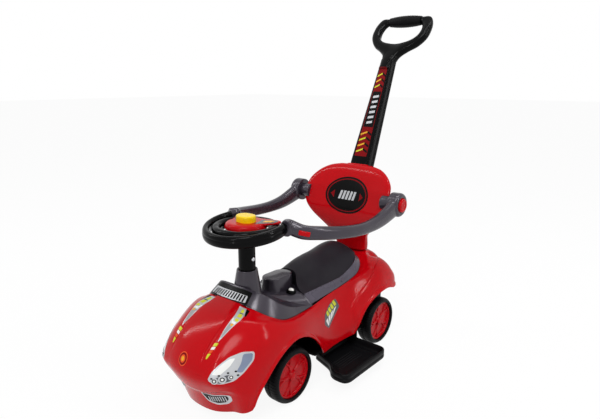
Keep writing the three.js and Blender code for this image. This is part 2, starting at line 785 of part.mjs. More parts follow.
function wheelDisc() {
  const seat = wheelWidth / 2 - discSeatDepth + gap;
  const circle = (radius, sides) => Array.from({ length: sides }, (_, k) => {
    const angle = (2 * Math.PI * k) / sides;
    return [radius * Math.cos(angle), radius * Math.sin(angle)];
  });
  const outlines = Array.from({ length: pocketCount }, (_, k) => {
    const middle = Math.PI / 2 + (2 * Math.PI * (k + 0.5)) / pocketCount;
    const edge = (radius, share) => {
      const angle = middle + pocketArc * (share - 0.5);
      return [radius * Math.cos(angle), radius * Math.sin(angle)];
    };
    const inner = edge(pocketInnerRadius, 0.5);
    return [inner, edge(pocketOuterRadius, 0), edge(pocketOuterRadius, 0.5), edge(pocketOuterRadius, 1)];
  });
  const face = seat + discThickness;
  const plate = solid(prism(circle(discRadius, roundSides), "x", seat, face));
  const pockets = outlines.map((outline) => prism(outline, "x", face - pocketDepth, face + overrun));
  const outer = face + discBossRise;
  const tip = discBossRadius - discBossRise;
  const boss = rod(discBossRadius, at(seat + weld, 0, 0), at(outer, 0, 0), smallSides, tip);
  return geometryOf(cut(plate, ...pockets).add(solid(boss))).rotateX(flatTurn);
}

function axleNut() {
  const from = webOuter + gap;
  const bore = rod(axleRadius + gap / 2, at(0, 0, 0), at(from + nutThickness + overrun, 0, 0));
  const body = rod(nutRadius, at(from, 0, 0), at(from + nutThickness, 0, 0));
  return geometryOf(cut(solid(body), bore));
}

function stubAxle() {
  const end = wheelCentreX + axlePastWeb;
  return rod(axleRadius, at(stubStartX - kingpinX, 0, 0), at(end - kingpinX, 0, 0));
}

function rearAxle() {
  const end = wheelCentreX + axlePastWeb;
  return rod(axleRadius, at(-end, 0, 0), at(end, 0, 0));
}

function rearBush() {
  const profile = [
    [axleRadius + gap, -bushLength / 2], [bushRadius, -bushLength / 2], [bushRadius, bushLength / 2],
    [axleRadius + gap, bushLength / 2], [axleRadius + gap, -bushLength / 2],
  ];
  return geometryOf(solid(turned(profile, "x", smallSides)));
}

// Steering linkage

function knuckle(side) {
  const upright = rod(knuckleRadius, at(0, 0, -knuckleHalfHeight), at(0, 0, knuckleHalfHeight));
  const bossEnd = axleBossEndX - kingpinX;
  const boss = rod(axleBossRadius, at(0, 0, 0), at(side * bossEnd, 0, 0));
  const armTop = -knuckleHalfHeight + steeringArmThickness;
  const arm = block(
    -steeringArmHalfWidth, steeringArmHalfWidth,
    -steeringArmLength - steeringArmHalfWidth, 0, -knuckleHalfHeight + weld, armTop,
  );
  const pinFoot = -knuckleHalfHeight - armPinDrop;
  const pinPlace = (z) => at(0, -steeringArmLength, z);
  const pin = rod(armPinRadius, pinPlace(pinFoot), pinPlace(armTop - weld));
  const boreEnd = knuckleHalfHeight + overrun;
  const kingpinBore = rod(kingpinRadius + gap, at(0, 0, -boreEnd), at(0, 0, boreEnd));
  const stubFrom = side * (stubStartX - kingpinX - gap);
  const stubBore = rod(axleRadius + gap, at(stubFrom, 0, 0), at(side * (bossEnd + overrun), 0, 0));
  return geometryOf(cut(joined(upright, boss, arm, pin), kingpinBore, stubBore));
}

function kingpin() {
  const reach = knuckleHalfHeight + gap + earThickness;
  const shank = rod(kingpinRadius, at(0, 0, -reach - overrun), at(0, 0, reach + gap + weld));
  const head = rod(kingpinHeadRadius, at(0, 0, reach + gap), at(0, 0, reach + gap + kingpinHeadThickness));
  return geometryOf(joined(shank, head));
}

const tieRodY = -steeringArmLength;
const crankPinY = columnY - crankLength;
function tieRod() {
  const top = wheelRadius - knuckleHalfHeight - gap - weld;
  const bottom = top - tieRodThickness;
  const endX = kingpinX + tieRodOverhang;
  const bar = block(-endX, endX, tieRodY - tieRodHalfWidth, tieRodY + tieRodHalfWidth, bottom, top);
  const slot = (x, y, radius, towards) => {
    const length = towards + slotEase / 2;
    const start = radius + easyGap;
    const [low, high] = [bottom - overrun, top + overrun];
    return block(x - start, x + start, y - start, y + start + length, low, high);
  };
  const slots = [slot(0, crankPinY, steeringRodRadius, slotEase)];
  for (const side of [-1, 1]) slots.push(slot(side * kingpinX, tieRodY, armPinRadius, 0));
  return geometryOf(cut(solid(bar), ...slots));
}

function steeringRod() {
  const crankZ = wheelRadius - steeringRodRadius;
  const pinFoot = wheelRadius - knuckleHalfHeight - gap - weld - tieRodThickness - overrun;
  const [foot, end] = [crankZ - steeringRodRadius, hubFloor + wheelHubThickness / 2];
  const upright = rod(steeringRodRadius, at(0, 0, foot), at(0, 0, end));
  const crank = (z) => at(0, -crankLength, z);
  const web = rod(steeringRodRadius - gap, at(0, 0, crankZ), crank(crankZ));
  const pin = rod(steeringRodRadius, crank(pinFoot), crank(crankZ + steeringRodRadius));
  return geometryOf(joined(upright, web, pin));
}

function steeringBush() {
  const foot = floorBottom - overrun;
  const shoulder = floorBottom + floorThickness + gap;
  const bore = steeringRodRadius + gap;
  const profile = [
    [bore, foot], [bushRadius, foot], [bushRadius, shoulder], [bushRadius + wall, shoulder],
    [bushRadius + wall, shoulder + wall], [bore, shoulder + wall], [bore, foot],
  ];
  return geometryOf(solid(turned(profile, "z", smallSides)));
}

const neckScrewHeight = lerp(coneTop, hubFloor, neckScrewShare);

function steeringNeck() {
  const profile = [
    [steeringRodRadius + gap, neckFoot], [neckRadius, neckFoot], [neckRadius, hubFloor - gap],
    [steeringRodRadius + gap, hubFloor - gap], [steeringRodRadius + gap, neckFoot],
  ];
  const bore = (x) => at(x, 0, neckScrewHeight);
  const screwHole = rod(neckScrewRadius + gap, bore(steeringRodRadius), bore(neckRadius + overrun));
  return geometryOf(cut(solid(turned(profile, "z")), screwHole));
}

function neckScrew() {
  const z = neckScrewHeight;
  const shank = rod(neckScrewRadius, at(steeringRodRadius + gap, 0, z), at(neckRadius + gap + weld, 0, z));
  const face = neckRadius + gap;
  const head = rod(neckScrewHeadRadius, at(face, 0, z), at(face + neckScrewHeadThickness, 0, z));
  return geometryOf(joined(shank, head));
}

// Steering wheel and horn

function steeringWheel() {
  const rim = new THREE.TorusGeometry(wheelRimRadius, wheelRimTube, ovalSides, rimSides);
  rim.translate(0, 0, wheelRimHeight);
  const hub = rod(wheelHubRadius, at(0, 0, hubFloor), at(0, 0, hubFloor + wheelHubThickness), roundSides);
  const [spokeFoot, spokeTop] = [hubFloor + weld, hubFloor + weld + spokeThickness];
  const spokes = [0, 1, 2].map((k) => {
    const arm = block(0, wheelRimRadius, -spokeWidth / 2, spokeWidth / 2, spokeFoot, spokeTop);
    return arm.rotateZ(-Math.PI / 2 + (2 * Math.PI * k) / 3);
  });
  const boreEnd = hubFloor + wheelHubThickness / 2 + gap;
  const bore = rod(steeringRodRadius + gap, at(0, 0, hubFloor - overrun), at(0, 0, boreEnd));
  return geometryOf(cut(joined(rim, hub, ...spokes), bore));
}

function stadium(halfLength, halfWidth, sides) {
  const straight = halfLength - halfWidth;
  const points = [];
  for (const side of [1, -1]) {
    for (let k = 0; k <= sides; k++) {
      const angle = side * (-Math.PI / 2) + (Math.PI * k) / sides;
      points.push([side * straight + halfWidth * Math.cos(angle), halfWidth * Math.sin(angle)]);
    }
  }
  return points;
}

const podFloor = hubFloor + wheelHubThickness + gap;
const podTop = hubFloor + wheelHubThickness + podHeight;
const buttonTop = podTop + buttonRise;
function hornPod() {
  const shoulder = podTop - podShoulder;
  const profile = [
    [0, podFloor], [podRadius - podShoulder / 2, podFloor], [podRadius, podFloor + podShoulder],
    [podRadius, shoulder], [podRadius - podShoulder / 3, podTop - podShoulder / 3],
    [podRadius - podShoulder, podTop], [0, podTop],
  ];
  let pod = solid(turned(profile, "z"));
  const low = podTop - wingThickness;
  for (const side of [-1, 1]) {
    const outline = [];
    for (const [x, y, radius] of [[0, 0, wingRootRadius], [side * wingTipX, wingTipY, wingTipRadius]]) {
      for (let k = 0; k < smallSides; k++) {
        const angle = (2 * Math.PI * k) / smallSides;
        outline.push(new THREE.Vector2(x + radius * Math.cos(angle), y + radius * Math.sin(angle)));
      }
    }
    pod = pod.add(solid(prism(hull(outline), "z", low, podTop)));
  }
  const pocketFloor = podTop - buttonDepth - buttonTravel - gap;
  const pocket = stadium(buttonHalfLength + gap, buttonHalfWidth + gap, smallSides / 2);
  return geometryOf(cut(pod, prism(pocket, "z", pocketFloor, podTop + overrun)));
}

// The convex outline round some places, as [x, y] pairs.
function hull(places) {
  const sorted = [...places].sort((a, b) => a.x - b.x || a.y - b.y);
  const half = (list) => {
    const chain = [];
    for (const p of list) {
      while (chain.length > 1) {
        const [a, b] = chain.slice(-2);
        if ((b.x - a.x) * (p.y - a.y) - (b.y - a.y) * (p.x - a.x) > 0) break;
        chain.pop();
      }
      chain.push(p);
    }
    return chain.slice(0, -1);
  };
  return [...half(sorted), ...half(sorted.reverse())].map((p) => [p.x, p.y]);
}

function hornButton() {
  const foot = podTop - buttonDepth;
  const outline = stadium(buttonHalfLength, buttonHalfWidth, smallSides / 2);
  const shrunk = (share) => outline.map(([x, y]) => [x * share, y * share]);
  const level = (points, z) => points.map(([x, y]) => at(x, y, z));
  const edgeShare = 0.95;
  const crownShare = 0.8;
  return loft([
    level(outline, foot), level(outline, buttonTop - buttonCrown),
    level(shrunk(edgeShare), buttonTop - buttonCrown / 3), level(shrunk(crownShare), buttonTop),
  ]);
}

// Guard

function hoopPlace(angle) {
  const place = at(hoopRadius * Math.sin(angle), -hoopRadius * Math.cos(angle), 0);
  place.applyAxisAngle(at(1, 0, 0), hoopTilt);
  return place.add(at(0, hoopCentreY, hoopCentreZ));
}

const hoopEnd = hoopPlace(hoopSpan);
const hoopSteps = 24;
const hoopEndAlong = hoopPlace(hoopSpan).sub(hoopPlace(hoopSpan * (1 - 2 / hoopSteps))).normalize();
const pastHoopEnd = (distance) => hoopEnd.clone().addScaledVector(hoopEndAlong, distance);

function guardHoop() {
  const angle = (i) => hoopSpan * (-1 + (2 * i) / hoopSteps);
  const path = Array.from({ length: hoopSteps + 1 }, (_, i) => hoopPlace(angle(i)));
  let hoop = solid(ovalTube(path, () => hoopHalfWidth, () => hoopHalfHeight));
  for (const side of [1, -1]) {
    const ends = [pastHoopEnd(-stubLength), pastHoopEnd(stubLength)];
    const stub = ends.map((p) => (side > 0 ? p : mirroredPoint(p)));
    hoop = hoop.add(solid(ovalTube(stub, () => stubHalfWidth, () => stubHalfHeight)));
  }
  return geometryOf(hoop);
}

// The arm's way from the hoop to the pivot: shares of the pivot boss's reach in x, of the way back to the
// pivot in y, and of the pivot's height in z.
const armWayShares = [
  [0.7, 0.12, 0.972], [0.83, 0.21, 0.958], [0.93, 0.35, 0.94],
  [0.99, 0.52, 0.925], [1.0, 0.66, 0.925], [1.0, 0.78, 0.938], [1.0, 0.9, 0.968], [1.0, 1.0, 1.0],
];
const armCentreX = (armBossInnerX + armBossOuterX) / 2;

// Half width and half height along the arm, as shares of the hoop's.
const armWidthShares = [1.6, 1.45, 1.4, 1.4, 1.4, 1.4, 1.5, 1.55, 1.5];
const armHeightShares = [1.6, 1.2, 1.15, 1.15, 1.1, 1.1, 1.2, 1.4, 1.6];

function armPath() {
  const outwards = hoopEndAlong.clone().cross(at(0, 0, 1)).normalize();
  const start = hoopEnd.clone().addScaledVector(outwards, hoopHalfWidth * (armWidthShares[0] - 1));
  const straight = start.clone().addScaledVector(hoopEndAlong, stubLength);
  const places = armWayShares.map(([x, y, z]) => at(x * armCentreX, y * pivotY, z * pivotZ));
  const curve = new THREE.CatmullRomCurve3([start, straight, ...places], false, "centripetal");
  return curve.getPoints(armPathPoints);
}

function latchFrame() {
  const path = armPath();
  const i = Math.round(latchDistanceShare * (path.length - 1));
  const along = path[i + 1].clone().sub(path[i - 1]).normalize();
  const out = along.clone().cross(at(0, 0, 1)).normalize();
  const down = along.clone().cross(out);
  const share = i / (path.length - 1);
  const face = path[i].clone().addScaledVector(out, hoopHalfWidth * curveValue(armWidthShares, share));
  return new THREE.Matrix4().makeBasis(along, out, down).setPosition(face);
}

function latchBlock(margin, top, depth) {
  const [length, height] = [latchHalfLength + margin, latchHalfHeight + margin];
  return block(-length, length, -depth, top, -height, height).applyMatrix4(latchFrame());
}

function guardArmLeft() {
  const path = armPath();
  const width = (share) => hoopHalfWidth * curveValue(armWidthShares, share);
  const height = (share) => hoopHalfHeight * curveValue(armHeightShares, share);
  const pivot = (x) => at(x, pivotY, pivotZ);
  const boss = rod(armBossRadius, pivot(armBossInnerX), pivot(armBossOuterX), roundSides);
  const stubEnds = [pastHoopEnd(-stubLength), pastHoopEnd(stubLength + gap)];
  const stub = ovalTube(stubEnds, () => stubHalfWidth + gap, () => stubHalfHeight + gap);
  const headSeat = armBossOuterX - capSeat - pivotBoltHeadThickness - gap;
  const arm = joined(ovalTube(path, width, height), boss);
  const hoopSide = [pastHoopEnd(-hoopRadius / 2), pastHoopEnd(gap)];
  const wallInside = block(0, armBossInnerX, -armBossRadius, armBossRadius, -armBossRadius, armBossRadius);
  return geometryOf(cut(
    arm,
    stub,
    ovalTube(hoopSide, () => hoopRadius / 2, () => hoopRadius / 2),
    rod(turningBore(pivotBoltRadius), pivot(armBossInnerX - overrun), pivot(armBossOuterX)),
    rod(turningBore(pivotBoltHeadRadius), pivot(headSeat), pivot(armBossOuterX)),
    rod(capRadius + gap, pivot(armBossOuterX - capSeat), pivot(armBossOuterX + armBossRadius), roundSides),
    wallInside.translate(0, pivotY, pivotZ),
    latchBlock(gap, latchRise + overrun, latchDepth + latchTravel + gap),
  ));
}

function pivotCapLeft() {
  const base = armBossOuterX - capSeat + gap;
  const top = armBossOuterX + capRise;
  const profile = [
    [0, base], [capRadius, base], [capRadius, top - capRise / 2],
    [capRadius - capRise / 2, top - capRise / 6], [capRadius / 2, top], [0, top],
  ];
  return geometryOf(solid(turned(profile, "x")));
}

function pivotBoltLeft() {
  const headTo = armBossOuterX - capSeat;
  const headFrom = headTo - pivotBoltHeadThickness;
  const shank = rod(pivotBoltRadius, at(pivotBoltInnerX, 0, 0), at(headFrom + weld, 0, 0));
  const head = rod(pivotBoltHeadRadius, at(headFrom, 0, 0), at(headTo, 0, 0));
  return geometryOf(joined(shank, head));
}

// Dashboard

// Top edge of the windscreen band, one place for each of the first ribs.
const bandTopShares = [
  [0, -0.138, 1.094], [0.341, -0.127, 1.086], [0.508, -0.105, 1.061], [0.636, -0.068, 1.016],
  [0.727, 0.005, 0.931], [0.7, 0.2, 0.8],
];
const bandRibs = bandTopShares.length - 1;

function bandTop(rib) {
  const place = (k) => {
    const point = bodyPlace(bandTopShares[clamp(Math.abs(k), 0, bandRibs)]);
    return k < 0 ? mirroredPoint(point) : point;
  };
  const i = clamp(Math.floor(rib), 0, bandRibs - 1);
  const [a, b, c, d] = [place(i - 1), place(i), place(i + 1), place(i + 2)];
  const t = rib - i;
  return at(
    catmullRom(a.x, b.x, c.x, d.x, t),
    catmullRom(a.y, b.y, c.y, d.y, t),
    catmullRom(a.z, b.z, c.z, d.z, t),
  );
}

const coneFootZ = (y) => coneFoot - deckSlope * (y - columnY);

function seamPlace(x) {
  const bulge = Math.exp(-((Math.abs(x) / seamBulgeHalfWidth) ** 4));
  return seamY + seamBulge * bulge;
}

// One upright section of the dashboard, from its lower edge over the deck and cone, and back underneath.
const deckSteps = 3;
function dashSection(edge, top, drop) {
  const centre = at(0, columnY, 0);
  const inward = (place, distance) => {
    const flat = centre.clone().setZ(place.z).sub(place);
    return place.clone().addScaledVector(flat.normalize(), distance);
  };
  const lip = inward(top, deckEdge);
  const outer = [edge, top, lip];
  const foot = inward(lip, weld);
  const away = foot.clone().sub(centre).setZ(0);
  const footRadius = away.length();
  const direction = away.clone().normalize();
  for (let k = 0; k <= deckSteps; k++) {
    const radius = lerp(footRadius, coneFootRadius, k / deckSteps);
    const place = centre.clone().addScaledVector(direction, radius);
    place.z = lerp(top.z - drop, coneFootZ(place.y), k / deckSteps);
    outer.push(place);
  }
  const fromCentre = (radius, z) => centre.clone().addScaledVector(direction, radius).setZ(z);
  const bore = neckRadius + neckClearance;
  outer.push(fromCentre(coneTopRadius, coneTop), fromCentre(bore, coneTop));
  const inner = outer.map((place, k) => {
    if (k >= outer.length - 2) return fromCentre(bore, coneTop - dashWall * (outer.length - k));
    return inward(place, k < 3 ? dashWall : 0).setZ(place.z - (k < 1 ? 0 : dashWall));
  });
  return [...outer, ...inner.slice(0, -1).reverse()];
}

// The hump before the seat: round at its front and rear, and drawn in a little towards its top.
function pommelBody(inset, low, high) {
  const ring = (radius, z) => {
    const half = smallSides / 2;
    return Array.from({ length: 2 * half + 2 }, (_, k) => {
      const rear = k <= half;
      const angle = (Math.PI * (rear ? k : k - 1)) / half;
      const y = rear ? pommelRearY : pommelFrontY;
      return at(radius * Math.cos(angle), y + radius * Math.sin(angle), z);
    });
  };
  return loft([ring(pommelFootRadius - inset, low), ring(pommelTopRadius - inset, high)]);
}

const seamSteps = 7;
const seamSpacing = 0.8;
function dashboard() {
  const right = [];
  const bandSteps = 12;
  const stop = (bandSteps * lastRib) / ribSteps;
  for (let i = 0; i <= bandSteps; i++) {
    const rib = (stop * i) / bandSteps;
    const edge = netPlace(rib, 0);
    const out = netNormal(rib, 0);
    edge.addScaledVector(out.setZ(0).normalize(), -easyGap);
    edge.z += easyGap;
    const top = bandTop(rib);
    if (top.z < edge.z + overrun) top.setZ(edge.z + overrun);
    right.push(dashSection(edge, top, deckDrop * (1 - i / bandSteps) + weld));
  }
  const corner = right[right.length - 1][0];
  for (let i = 1; i <= seamSteps; i++) {
    const x = corner.x * (1 - i / seamSteps) ** seamSpacing;
    const y = seamPlace(x) - easyGap;
    const share = Math.abs(x) / corner.x;
    const top = at(x, y, lerp(seamHeight, corner.z + overrun, share ** 4));
    const depth = lerp(seamDepth, overrun, share ** 4);
    right.push(dashSection(top.clone().setZ(top.z - depth), top, weld));
  }
  const left = right.slice(1, -1).reverse().map((ring) => ring.map(mirroredPoint));
  const deck = solid(loft([...right, ...left], true));
  const pommel = pommelBody(0, pommelFoot, pommelTop);
  const hollow = pommelBody(dashWall, pommelFoot - overrun, pommelTop - dashWall);
  const socket = knobRod(bezelRadius + gap, -knobStem - overrun - dashWall, bezelRise + overrun);
  const hooks = [-1, 1].map((side) => {
    const [from, to] = [side * hingeHookX, side * (hingeHookX + hingeLugWidth)].sort((a, b) => a - b);
    const reach = hingeBarrelRadius;
    const root = pommelRearY + pommelTopRadius / 2;
    const outline = [
      [root, hingeHookFoot], [hingeY, hingeHookFoot], [hingeY + reach, hingeHookTop],
      [hingeY + reach, hingeZ], [hingeY, hingeZ + reach], [hingeY - reach, hingeZ],
      [hingeY - reach, hingeHookTop], [root, hingeHookTop],
    ];
    return solid(prism(outline, "x", from, to));
  });
  const shell = cut(deck.add(solid(pommel)), hollow, socket);
  const holed = hooks.reduce((sum, hook) => sum.add(hook), shell);
  return geometryOf(cut(holed, hingeRod(hingePinRadius + gap, -lidHalfWidth, lidHalfWidth)));
}

// The ignition switch stands square to the deck.
function knobFrame() {
  const up = at(0, deckSlope, 1).normalize();
  const turn = new THREE.Quaternion().setFromUnitVectors(at(0, 0, 1), up);
  const share = (seamPlace(knobX) - knobY) / (seamPlace(knobX) - columnY);
  const z = lerp(seamHeight, coneFootZ(knobY), share);
  return new THREE.Matrix4().compose(at(knobX, knobY, z), turn, at(1, 1, 1));
}

function knobRod(radius, low, high, endRadius = radius) {
  return rod(radius, at(0, 0, low), at(0, 0, high), smallSides, endRadius).applyMatrix4(knobFrame());
}

function ignitionBezel() {
  const ring = solid(knobRod(bezelRadius, -knobStem - dashWall, bezelRise, bezelRadius - bezelRise / 2));
  return geometryOf(cut(ring, knobRod(turningBore(knobRadius), -knobStem, bezelRise + overrun)));
}

function ignitionKnob() {
  const stem = knobRod(knobRadius, -knobStem + gap, bezelRise);
  const dome = knobRod(knobRadius, bezelRise - weld, bezelRise + knobRise, knobRadius / 2);
  return geometryOf(joined(stem, dome));
}

// Seat

const lidFrontY = (x) => seamPlace(x) + easyGap;

function hingeRod(radius, from, to) {
  return rod(radius, at(from, hingeY, hingeZ), at(to, hingeY, hingeZ));
}
function rearEdge(x, halfWidth, depth) {
  return lidRearStart + superOval(x, halfWidth, depth, seatPower);
}
function lidEdgeZ(y) {
  const share = smooth(y, lidEdgeRiseStart, lidEdgeRiseStart + lidEdgeRiseLength);
  return lidEdgeFront + lidEdgeRise * share;
}
// The lid's crown from its front to its rear, as shares of the highest.
const crownShares = [0.465, 0.586, 0.715, 0.87, 0.99, 0.98, 0.867, 0.63, 0];

function lidZ(x, y) {
  const front = lidFrontY(0);
  const back = rearEdge(0, lidHalfWidth, lidRearDepth);
  const crown = lidCrown * curveValue(crownShares, (y - front) / (back - front));
  return lidEdgeZ(y) + crown * (1 - (Math.abs(x) / lidHalfWidth) ** seatPower);
}

function seatLid() {
  const [rows, columns] = [11, 10];
  const upper = [];
  const lower = [];
  for (let i = 0; i <= rows; i++) {
    const line = Array.from({ length: columns + 1 }, (_, j) => {
      const x = (lidHalfWidth - gap) * Math.sin((Math.PI / 2) * (-1 + (2 * j) / columns));
      const y = lerp(lidFrontY(x), rearEdge(x, lidHalfWidth, lidRearDepth), i / rows);
      return at(x, y, lidZ(x, y));
    });
    upper.push(line);
    lower.push(line.map((p) => at(p.x, p.y, p.z - lidThickness)));
  }
  const parts = [slab(upper, lower)];
  for (const side of [-1, 1]) {
    const [from, to] = [side * hingeLugX, side * (hingeLugX + hingeLugWidth)].sort((a, b) => a - b);
    parts.push(hingeRod(hingeBarrelRadius, from, to));
    const top = lidZ(to, hingeY) - lidThickness / 2;
    parts.push(block(from, to, hingeY, hingeY + hingeBarrelRadius, hingeZ, top));
  }
  return geometryOf(cut(joined(...parts), hingeRod(hingePinRadius + gap, -lidHalfWidth, lidHalfWidth)));
}

function seatHingePin() {
  return hingeRod(hingePinRadius, -hingePinHalfLength, hingePinHalfLength);
}

function seatTrim() {
  const inner = lidHalfWidth + gap;
  const power = 2 / seatPower;
  const bend = (halfWidth, depth, angle) => [
    halfWidth * Math.sign(Math.cos(angle)) * Math.abs(Math.cos(angle)) ** power,
    lidRearStart + depth * Math.sin(angle) ** power,
  ];
  const rings = [];
  const section = (inside, outside) => {
    const [xi, yi] = inside;
    const [xo, yo] = outside;
    const top = lidEdgeZ(yi);
    const edge = bodyEdgeZ(yo) + trimSeat;
    rings.push([
      at(xi, yi, top), at(xo, yo, edge + trimLip), at(xo, yo, edge), at(xi, yi, edge - trimDrop),
    ]);
  };
  const straightSteps = 6;
  const bendSteps = 18;
  const front = seamY + easyGap;
  for (let i = 0; i < straightSteps; i++) {
    const y = lerp(front, lidRearStart, i / straightSteps);
    section([inner, y], [trimHalfWidth, y]);
  }
  for (let i = 0; i <= bendSteps; i++) {
    const angle = (Math.PI * i) / bendSteps;
    section(bend(inner, lidRearDepth + gap, angle), bend(trimHalfWidth, trimRearDepth, angle));
  }
  for (let i = straightSteps - 1; i >= 0; i--) {
    const y = lerp(front, lidRearStart, i / straightSteps);
    section([-inner, y], [-trimHalfWidth, y]);
  }
  return loft(rings);
}

// Height of the shell's top edge beside the seat, by place along the car.
function bodyEdgeZ(y) {
  let [before, after] = [bandRibs, lastRib];
  for (let k = 0; k < roundSides; k++) {
    const middle = (before + after) / 2;
    if (netPlace(middle, 0).y < y) before = middle;
    else after = middle;
  }
  return netPlace(after, 0).z;
}

function storageTub() {
  const foot = floorBottom + floorThickness + gap;
  const ring = (inset, z) => {
    const x = tubHalfWidth - inset;
    const [front, rear] = [tubFront + inset, tubRear - inset];
    return [at(-x, front, z), at(x, front, z), at(x, rear, z), at(-x, rear, z)];
  };
  const outer = solid(loft([ring(tubTaper, foot), ring(0, tubTop)]));
  const room = loft([ring(tubTaper + tubWall, foot + tubWall), ring(tubWall, tubTop + overrun)]);
  return geometryOf(cut(outer, room));
}

// Backrest

// From the deck up to the top: shares of the height above the plug's foot, of the half width, of the
// car's length for the middle of its depth, half depth as a share of the half width, and the sides' sweep.
const backrestShares = [
  [0.154, 0.35, 1.092, 0.14, 0],
  [0.2, 0.36, 1.09, 0.15, 0],
  [0.262, 0.385, 1.078, 0.14, 0.01],
  [0.315, 0.43, 1.062, 0.13, 0.03],
  [0.36, 0.51, 1.048, 0.12, 0.05],
  [0.42, 0.61, 1.03, 0.115, 0.08],
  [0.497, 0.77, 1.018, 0.11, 0.12],
  [0.577, 0.9, 1.02, 0.11, 0.16],
  [0.647, 0.975, 1.032, 0.11, 0.17],
  [0.706, 1, 1.045, 0.11, 0.17],
  [0.785, 0.985, 1.062, 0.11, 0.15],
  [0.845, 0.95, 1.08, 0.105, 0.12],
  [0.9, 0.86, 1.098, 0.1, 0.09],
  [0.945, 0.74, 1.113, 0.09, 0.06],
  [0.98, 0.58, 1.127, 0.07, 0.03],
  [1, 0.36, 1.137, 0.04, 0.01],
];

function backrestRing(heightShare, widthShare, middleShare, depthShare, sweepShare) {
  const z = lerp(plugFoot, backrestTop, heightShare);
  const halfWidth = widthShare * backrestHalfWidth;
  const halfDepth = depthShare * backrestHalfWidth;
  const sweep = sweepShare * backrestHalfWidth;
  const sides = 2 * smallSides;
  return Array.from({ length: sides }, (_, k) => {
    const angle = (2 * Math.PI * k) / sides;
    const [c, s] = [Math.cos(angle), Math.sin(angle)];
    const across = Math.sign(c) * Math.abs(c) ** backrestPower;
    const deep = Math.sign(s) * Math.abs(s) ** backrestPower;
    const y = alongCar(middleShare) + halfDepth * deep - sweep * across * across;
    return at(halfWidth * across, y, z);
  });
}

const poleAlong = at(0, Math.sin(poleLean), Math.cos(poleLean));
const poleFoot = at(0, poleFootY, poleFootZ);

// A box that leans with the pole, in distances along it from its foot.
function leaningBlock(halfWidth, halfDepth, from, to) {
  const box = block(-halfWidth, halfWidth, -halfDepth, halfDepth, from, to);
  return box.rotateX(-poleLean).translate(poleFoot.x, poleFoot.y, poleFoot.z);
}

function backrest() {
  const panel = loft(backrestShares.map((shares) => backrestRing(...shares)));
  const plugTop = lerp(plugFoot, backrestTop, backrestShares[1][0]);
  const [front, rear] = [plugY - plugHalfDepth, plugY + plugHalfDepth];
  const plug = block(-plugHalfWidth, plugHalfWidth, front, rear, plugFoot, plugTop);
  const [roomWidth, roomDepth] = [poleFootHalfWidth + easyGap, poleFootHalfDepth + easyGap];
  const housing = leaningBlock(roomWidth + socketWall, roomDepth + socketWall, -socketWall, socketDepth);
  const parts = [panel, plug, housing];
  for (const side of [-1, 1]) {
    const pivot = (x) => at(side * x, pivotY, pivotZ);
    parts.push(rod(backBossRadius, pivot(backBossInnerX), pivot(armBossInnerX - gap), roundSides));
  }
  const cutters = [leaningBlock(roomWidth, roomDepth, 0, poleLength / 2)];
  for (const side of [-1, 1]) {
    const bolt = (x) => at(side * x, pivotY, pivotZ);
    cutters.push(rod(pivotBoltRadius + gap, bolt(pivotBoltInnerX - gap), bolt(armBossInnerX + overrun)));
    const screw = (y) => at(side * backScrewX, y, backScrewHeight);
    cutters.push(rod(screwRadius + gap, screw(plugY - overrun), screw(plugY + plugHalfDepth + overrun)));
  }
  return geometryOf(cut(joined(...parts), ...cutters));
}

function backrestScrew(side) {
  const place = (y) => at(side * backScrewX, y, backScrewHeight);
  const face = plugY + plugHalfDepth + gap;
  const shank = rod(screwRadius, place(plugY - overrun + gap), place(face + weld));
  const head = rod(screwHeadRadius, place(face), place(face + screwHeadThickness));
  return geometryOf(joined(shank, head));
}

// Push handle

function poleRing(distance, halfWidth, halfDepth) {
  const [flatX, flatY] = [halfWidth - poleChamfer, halfDepth - poleChamfer];
  const corners = [
    [-flatX, -halfDepth], [flatX, -halfDepth], [halfWidth, -flatY], [halfWidth, flatY],
    [flatX, halfDepth], [-flatX, halfDepth], [-halfWidth, flatY], [-halfWidth, -flatY],
  ];
  const leaned = (x, y) => at(x, y, distance).applyAxisAngle(at(1, 0, 0), -poleLean);
  return corners.map(([x, y]) => leaned(x, y).add(poleFoot));
}

// Outline of the grip's frame: shares of its half width and of its length above the pole's top.
const gripOutlineShares = [
  [0.18, -0.12], [0.24, 0.1], [0.48, 0.24], [0.76, 0.36], [0.95, 0.53], [1, 0.7], [0.98, 0.85], [0.9, 0.97],
  [0.78, 1], [0.66, 0.985], [0.6, 0.98],
];
const gripHoleShares = [
  [0.6, 0.87], [0.68, 0.8], [0.73, 0.68], [0.7, 0.56], [0.55, 0.47], [0.3, 0.415], [0.1, 0.4],
];

function gripFrame() {
  const half = gripOutlineShares.map(([x, v]) => [x * gripHalfWidth, v * gripLength]);
  const barTop = gripBarLift + gripBarRadius;
  const barFoot = gripBarLift - gripBarRadius;
  const outline = [...half, [gripBarHalfLength, barTop]];
  const outer = [...outline, ...[...outline].reverse().map(([x, v]) => [-x, v])];
  const hole = gripHoleShares.map(([x, v]) => [x * gripHalfWidth, v * gripLength]);
  const inner = [[gripBarHalfLength, barFoot], ...hole];
  const opening = [...inner, ...[...inner].reverse().map(([x, v]) => [-x, v])];
  return prism(outer, "y", -gripHalfDepth, gripHalfDepth, [opening.reverse()]);
}

const poleTop = poleFoot.clone().addScaledVector(poleAlong, poleLength);
const inGripPlane = (geometry) => geometry.rotateX(-gripLean).translate(poleTop.x, poleTop.y, poleTop.z);

